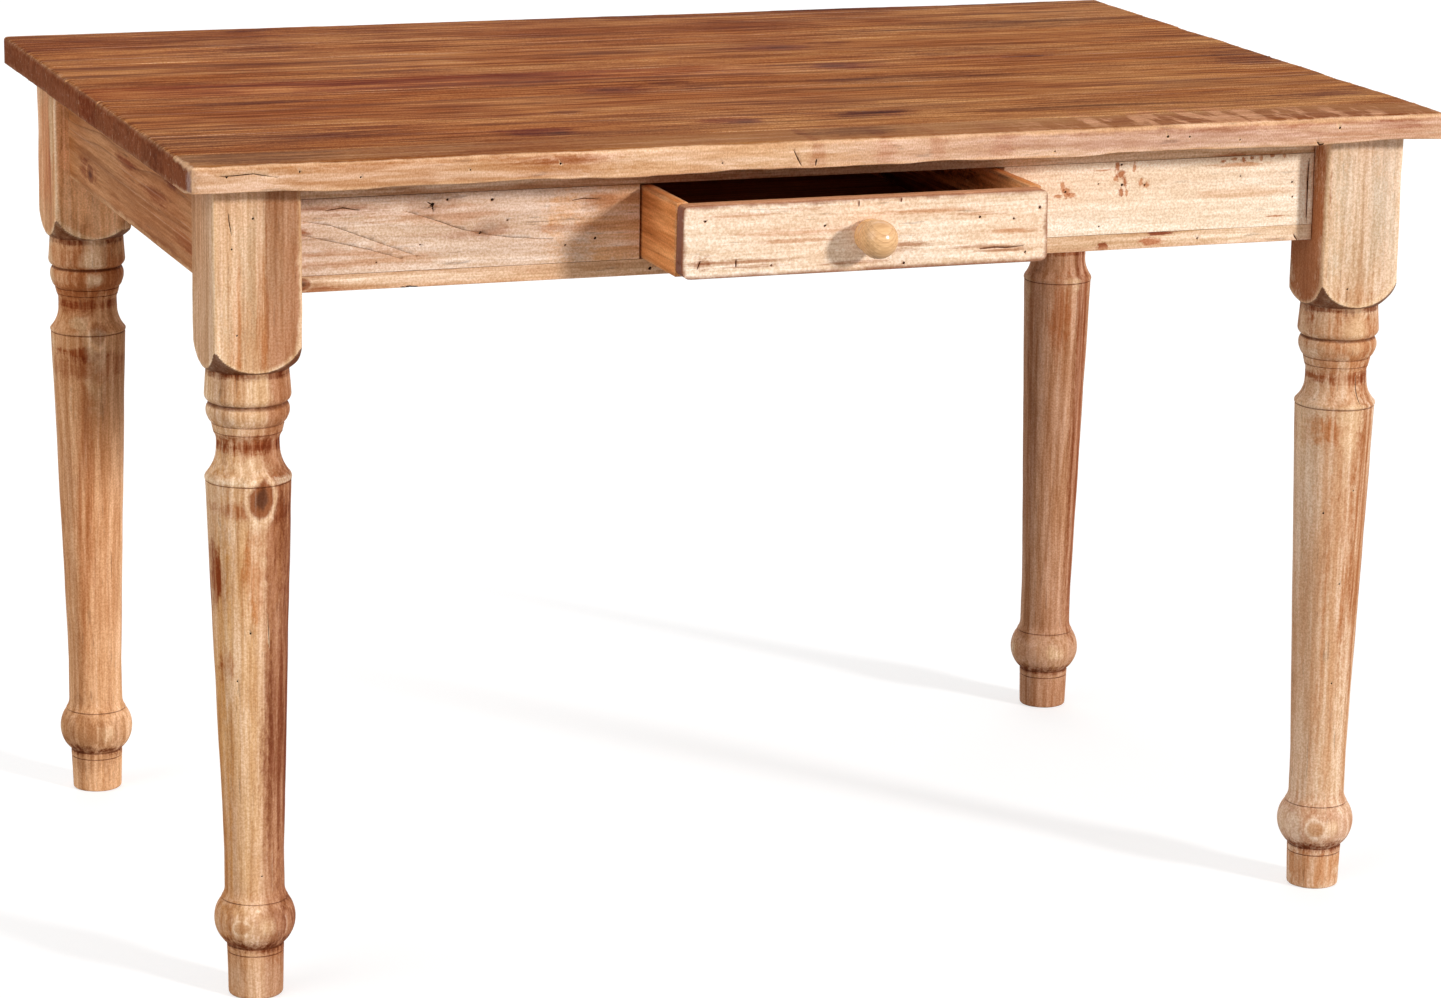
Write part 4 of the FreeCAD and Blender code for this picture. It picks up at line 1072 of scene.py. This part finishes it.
for node, looks in front_pieces.items():
    front_pine = dict(
        light=(244, 214, 182), dark=(180, 124, 86), red=(230, 190, 152), bare=(214, 158, 116),
        pith=(0, -300, 600), rings=0.3, dashes=0.6, wander=30, worn=0.5,
    )
    board(
        node, "table", "apron_wood", pine(f"pine_{node}", "X", **front_pine | looks),
        looks["seed"], step=0.005, outer=front_box, rim=0.0012, wear=0.9,
    )
scars("front_apron_left", front, holes=[
    (-369, 717, 2.2), (-355, 721, 1.3), (-380, 682, 0.8), (-246, 675, 1.0), (-300, 700, 0.8),
    (-420, 668, 0.8), (-314, 719, 1.6), (-325, 690, 1.5), (-218, 680, 1.4),
], cracks=[
    (1.4, (-466, 716), (-450, 718), (-435, 715)), (1.8, (-374, 720), (-369, 717), (-368, 711)),
    (1.6, (-491, 703), (-491, 695)), (1.1, (-240, 715), (-229, 716.5), (-214, 715)),
    (0.35, (-488, 708), (-460, 702.5), (-421, 687), (-383, 672)),
    (0.35, (-488, 695.5), (-466, 690), (-427, 680), (-396, 670)),
    (0.45, (-395, 713), (-363, 702), (-341, 693.5), (-322, 689.5)),
    (0.35, (-330, 690), (-296, 684.5), (-258, 681)),
])
scars("front_apron_right", front, holes=[
    (238, 701, 1.2), (294, 724, 1.3), (295, 705, 1.4), (318, 704, 1.0), (416, 708, 0.8),
    (271, 707, 0.8), (273, 667, 0.9), (470, 700, 1.0), (471, 686, 0.9),
], cracks=[(1.8, (487, 722), (486.5, 700), (487, 660))])
scars("front_rail_bottom", front, holes=[(-166, 650, 1.8), (374, 651, 0.9)], cracks=[
    (3.0, (-398, 645), (-390, 644), (-382, 645)), (1.6, (474, 650), (478, 644)),
])

# ---------------------------------------------------------------- the other aprons

# One board each, bolted between the legs, with a groove inside for the top's buttons.
left = -558
left_marks = dict(knots=[(left, 190, 662, 9)], patches=[
    (left, 30, 700, through, 50, 7, umber, 1.0), (left, -90, 690, through, 60, 10, umber, 1.0),
    (left, 200, 664, through, 50, 12, umber, 0.9), (left, -150, 715, through, 30, 10, umber, 0.9),
    (left, -220, 668, through, 80, 12, honey, 0.9)])


def bar(low, high):
    """The shape of a plain bar, in mm."""
    (x1, y1, z1), (x2, y2, z2) = low, high
    return tube([[
        Vector((x, y, z)) * mm for y, z in ((y1, z1), (y2, z1), (y2, z2), (y1, z2))
    ] for x in (x1, x2)])


for node, axis, pith, seed, groove, marks in (
    ("apron_left", "Y", (-500, 0, 620), 31.2, ((-545, -290, 723), (-530, 290, 732)), left_marks),
    ("apron_right", "Y", (600, 0, 660), 32.9, ((530, -290, 723), (545, 290, 732)), {}),
    ("apron_back", "X", (0, 380, 620), 33.4, ((-495, 313, 723), (495, 328, 732)), {}),
):
    finish = pine(
        f"pine_{node}", axis, pith=pith, light=(208, 148, 98), dark=(124, 74, 44),
        red=(182, 116, 70), seed=seed, bare=(214, 164, 120), rings=0.62, ring=10, wander=50,
        gloss=0.05, **marks,
    )
    board(node, "table", "apron_wood", finish, seed, rim=0.0012)
    carve(made[node], bar(*groove))

# ---------------------------------------------------------------- the corner braces

# Blocks of pine set at 45 degrees across the corners and screwed to the aprons.


def dress(finish, *names):
    """Give nodes of the frame a finish."""
    for name in names:
        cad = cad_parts[name].data
        cad.materials.clear()
        cad.materials.append(finish)


plain_pine = dict(light=(206, 152, 106), dark=(136, 84, 52), red=(184, 126, 82))
dress(
    pine("pine_braces", "Z", pith=(0, 0, 0), seed=61.0, ring=4, **plain_pine),
    *(f"corner_brace_{end}_{side}" for end in ("front", "back") for side in ("left", "right")),
)

# ---------------------------------------------------------------- the iron

# Zinc plated hanger bolts with their washers and nuts, slotted wood screws and nails.
steel, nodes, place = new_material("zinc_plate")
spangle = place.noise(420, 3, 0.6)
nodes.finish({
    "Base Color": nodes.mix(spangle, colour(150, 148, 142), colour(196, 194, 188)),
    "Metallic": 1.0, "Roughness": spangle.step(0.3, 0.7, 0.34, 0.5),
})
dress(steel, "brace_washers", "brace_nuts", "drawer_nails")

# This tree puts a screw on every point, its head there and its tip along the point's way.
# Each starts as a plain bar one metre in radius, which a rule brings down to head and thread.
screw_tree, nodes, given = new_group(
    "driven_screws", "GeometryNodeTree", places="Geometry", length=0.034, radius=0.002,
    head_radius=0.0, head_height=0.0, pitch=0.0018, thread=0.0005, tip=0.005, slot=0.0009,
    rows=96, seed=7, finish="Material",
)
bar_mesh = nodes.put("GeometryNodeMeshCylinder", {
    "Vertices": 20, "Side Segments": given.rows, "Radius": 1.0, "Depth": given.length,
}, "Mesh", fill_type="TRIANGLE_FAN")
x, y, z = nodes.put("GeometryNodeInputPosition").split()
driven = given.length * 0.5 + z
turn = y.do("ARCTAN2", x) / math.tau
along = (driven / given.pitch + (turn + 1.0)).do("FRACT")
groove = (along * 2 - 1).do("ABSOLUTE") * given.thread
past_head = driven.do("GREATER_THAN", given.head_height * 2.0)
shank = given.radius - groove * past_head
cone = driven / given.head_height.do("MAXIMUM", 1e-5)
cone = nodes.put("ShaderNodeMapRange", (cone, 0.12, 1.0, given.head_radius, 0.0))
taper = nodes.put("ShaderNodeMapRange", (given.length - driven, 0.0, given.tip, 0.25, 1.0))
radius = shank.do("MAXIMUM", cone) * taper
shaped = nodes.put("GeometryNodeSetPosition", {
    "Geometry": bar_mesh, "Position": nodes.join(x * radius, y * radius, driven),
})
cutter_size = nodes.join(given.head_radius * 3.0, given.slot, given.slot * 2.4)
cutter_block = nodes.put("GeometryNodeMeshCube", {"Size": cutter_size}, "Mesh")
slotted = nodes.put("GeometryNodeMeshBoolean", {
    "Mesh 1": shaped, "Mesh 2": cutter_block,
}, operation="DIFFERENCE", solver="MANIFOLD")
has_slot = given.slot.do("GREATER_THAN", 0.0)
screw = nodes.put("GeometryNodeSwitch", {
    "Switch": has_slot, "False": shaped, "True": slotted,
}, input_type="GEOMETRY")
way = nodes.put("GeometryNodeInputNamedAttribute", {"Name": "way"}, data_type="FLOAT_VECTOR")
aligned = nodes.put("FunctionNodeAlignRotationToVector", {"Vector": way}, axis="Z")
spin = nodes.put("FunctionNodeRandomValue", {3: math.tau, "Seed": given.seed}, 1)
spun = nodes.put("FunctionNodeRotateRotation", {
    "Rotation": aligned, "Rotate By": nodes.join(0.0, 0.0, spin),
}, rotation_space="LOCAL")
give_mesh(nodes, nodes.put("GeometryNodeInstanceOnPoints", {
    "Points": given.places, "Instance": screw, "Rotation": spun,
}), given.finish)


def solids(node):
    """The points of each separate solid of a CAD node, one array a solid."""
    whole = bmesh.new()
    whole.from_mesh(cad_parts[node].data)
    bmesh.ops.remove_doubles(whole, verts=whole.verts, dist=1e-6)
    left, found = set(whole.verts), []
    while left:
        edge, solid = [left.pop()], []
        while edge:
            vertex = edge.pop()
            solid.append(vertex.co[:])
            around = {e.other_vert(vertex) for e in vertex.link_edges} & left
            left -= around
            edge += around
        found.append(sorted(solid))
    whole.free()
    return [np.array(solid) for solid in sorted(found)]


def drive(node, body, pitch=0.0018, rows_in_turn=5, **sizes):
    """Put threaded screws or bolts where a node's plain ones are."""
    heads, ways = [], []
    for points in solids(node):
        middle = (points.min(0) + points.max(0)) / 2
        axis = np.linalg.svd(points - points.mean(0))[2][0]
        along = (points - middle) @ axis
        wide = np.linalg.norm(points - middle - np.outer(along, axis), axis=1)
        way = axis * (-1 if along[wide.argmax()] > 0 else 1)
        heads.append(middle - way * np.ptp(along) / 2)
        ways.append(way)
    length = float(np.ptp(along))
    piece = into_mesh(f"{node}_threaded", [tuple(head) for head in heads], [])
    piece.data.attributes.new("way", "FLOAT_VECTOR", "POINT").data.foreach_set(
        "vector", np.array(ways).ravel())
    apply_tree(
        piece, screw_tree, crisp=30, length=length, pitch=pitch,
        rows=round(length / pitch * rows_in_turn), finish=steel, **sizes,
    )
    stand_in(piece, node, body)


for node, body in (("brace_screws", "table"), ("button_screws", "table"),
                   ("front_rail_screws", "table"), ("knob_screw", "drawer")):
    drive(node, body, radius=0.002, head_radius=0.004, head_height=0.0028)
drive("hanger_bolts", "table", radius=0.004, pitch=0.0015, thread=0.0007, tip=0.001, slot=0.0)

# ---------------------------------------------------------------- the top's buttons

# Small blocks with a tongue that hooks into the aprons' grooves.
dress(pine("pine_buttons", "X", pith=(0, 0, 700), seed=62.0, **plain_pine), "top_buttons")

# ---------------------------------------------------------------- the drawer's runners

# Runners, guides, kickers and stops, from sawn pine left plain.
dress(
    pine("pine_runners", "Y", pith=(100, 0, 600), seed=63.0, **plain_pine),
    *(f"drawer_{part}_{side}" for part in ("runner", "guide", "kicker", "stop")
      for side in ("left", "right")),
)

# ---------------------------------------------------------------- the drawer's box

# Sides, back and bottom of thinner, darker pine. The back, the bottom and the sides' inner faces
# are darker still, as painted shade inside the drawer. The sides are butted to the back of the
# drawer's front and show beside it when the drawer is out.
box_pine = dict(light=(252, 176, 110), dark=(190, 118, 66), red=(234, 152, 90))
# Painted shade: the back and bottom are a darker pine than the sides.
shade_darkened_pine = dict(light=(186, 122, 76), dark=(124, 72, 42), red=(168, 104, 62))
inner_shade_tint = (132, 104, 96)
for node in ("drawer_side_left", "drawer_side_right"):
    low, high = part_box(node)
    inner = low.x if low.x > 0 else high.x
    finish = pine(
        f"pine_{node}", "Y", pith=(low.x / mm + 20, 0, 695), seed=41.0, ring=9, rings=0.55,
        wander=50, bare=(216, 160, 112),
        # Painted shade: the inner face is darkened.
        patches=[(inner / mm, -200, 680, 6, 170, 50, inner_shade_tint, 1.0)], **box_pine,
    )
    board(node, "drawer", "drawer_box_wood", finish, 41, step=0.005, rim=0.0008)
board(
    "drawer_back", "drawer", "drawer_box_wood",
    pine("pine_drawer_back", "X", pith=(0, 0, 680), seed=42.0, **shade_darkened_pine), 42, rim=0.0006,
)
dress(pine("pine_drawer_bottom", "X", pith=(0, 0, 620), seed=43.0, **shade_darkened_pine), "drawer_bottom")
dress(pine("beech_dowels", "Y", pith=(0, 0, 690), seed=44.0, **box_pine), "drawer_dowels")

# ---------------------------------------------------------------- the drawer's front

# A thick pale board with rounded corners, scuffed along its lower edge and round the knob.
face_of_drawer = -449
smoky, faint, fainter = ((202, 172, 154), 1.0), ((220, 192, 172), 1.0), ((226, 200, 180), 1.0)
finish = pine(
    "pine_drawer_front", "X", pith=(0, -420, 600), light=(250, 228, 204),
    dark=(200, 144, 106), red=(246, 214, 184), seed=51.3, bare=(150, 92, 62), worn=0.85,
    rings=0.2, streaks=0.14, threads=0.13, fibres=0.09, dashes=0.5, end=(150, 100, 84),
    stain=(206, 160, 130), patches=on_front(
        face_of_drawer, (-125, 673.5, 60, 3, *smoky), (-110, 669, 40, 2, *smoky),
        (-155, 674, 10, 8, *smoky), (34, 681.5, 34, 3.2, *smoky), (30, 677, 26, 2, *smoky),
        (-10, 668, 40, 2.4, *smoky), (112, 676.5, 40, 2.4, *smoky), (130, 672, 36, 1.8, *smoky),
        (140, 689, 26, 3, (226, 198, 178), 1.0), (-60, 698, 80, 4, (228, 202, 184), 1.0),
        (-70, 690, 50, 2.4, *faint), (-120, 715, 44, 3.4, (224, 198, 180), 1.0),
        (-60, 718, 30, 2, *faint), (60, 711, 60, 3, *fainter), (110, 706, 30, 2, *faint)),
)
board(
    "drawer_front", "drawer", "drawer_front_wood", finish, 51, step=0.004, rim=0.0022,
    corner=0.009, corner_plane=(1.0, 0.0, 1.0), wear=0.8,
)
scars("drawer_front", face_of_drawer, holes=[
    (-153, 711, 1.1), (-41, 702, 1.1), (107, 703, 1.2), (140, 700, 1.0), (165, 709, 1.1),
    (35, 665, 1.2), (152, 669, 1.0), (-91, 669, 0.9),
], cracks=[
    (1.6, (-157, 676), (-160, 669)), (1.6, (-124, 676), (-124, 669)),
    (1.2, (-9, 723), (-9, 718)), (1.2, (32, 724), (31, 720)),
    (1.0, (108, 674), (122, 675), (134, 674), (150, 675)),
])

# ---------------------------------------------------------------- the knob

# Turned in one piece from a blond hardwood and varnished: a foot, a ring, a waist, a ball.
knob_profile = (
    (0, 0), (12, 0), (13.2, 2.5), (15, 5, 1), (13, 10), (12.6, 11, 1.6), (16, 20.5, 0.4),
    (17.3, 25.7, 5.07), (0, 43),
)
knob = lathe("knob_turned", turned_line(knob_profile, step=0.0008), 72)
low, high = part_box("knob")
knob.data.transform(Matrix.Translation((0, high.y, (low.z + high.z) / 2)) @ Matrix.Rotation(
    math.pi / 2, 4, "X"))
knob.data.materials.append(pine(
    "varnished_knob", "X", pith=(0, -470, 680), light=(236, 188, 136), dark=(176, 112, 60),
    red=(230, 178, 122), seed=71.0, ring=2.6, wander=3, rings=0.5, shine=0.22, gloss=0.5,
    streaks=0.08, threads=0.06, specks=0.03, scratches=0.0, dashes=0.0, bump=0.05,
))
stand_in(knob, "knob", "drawer")
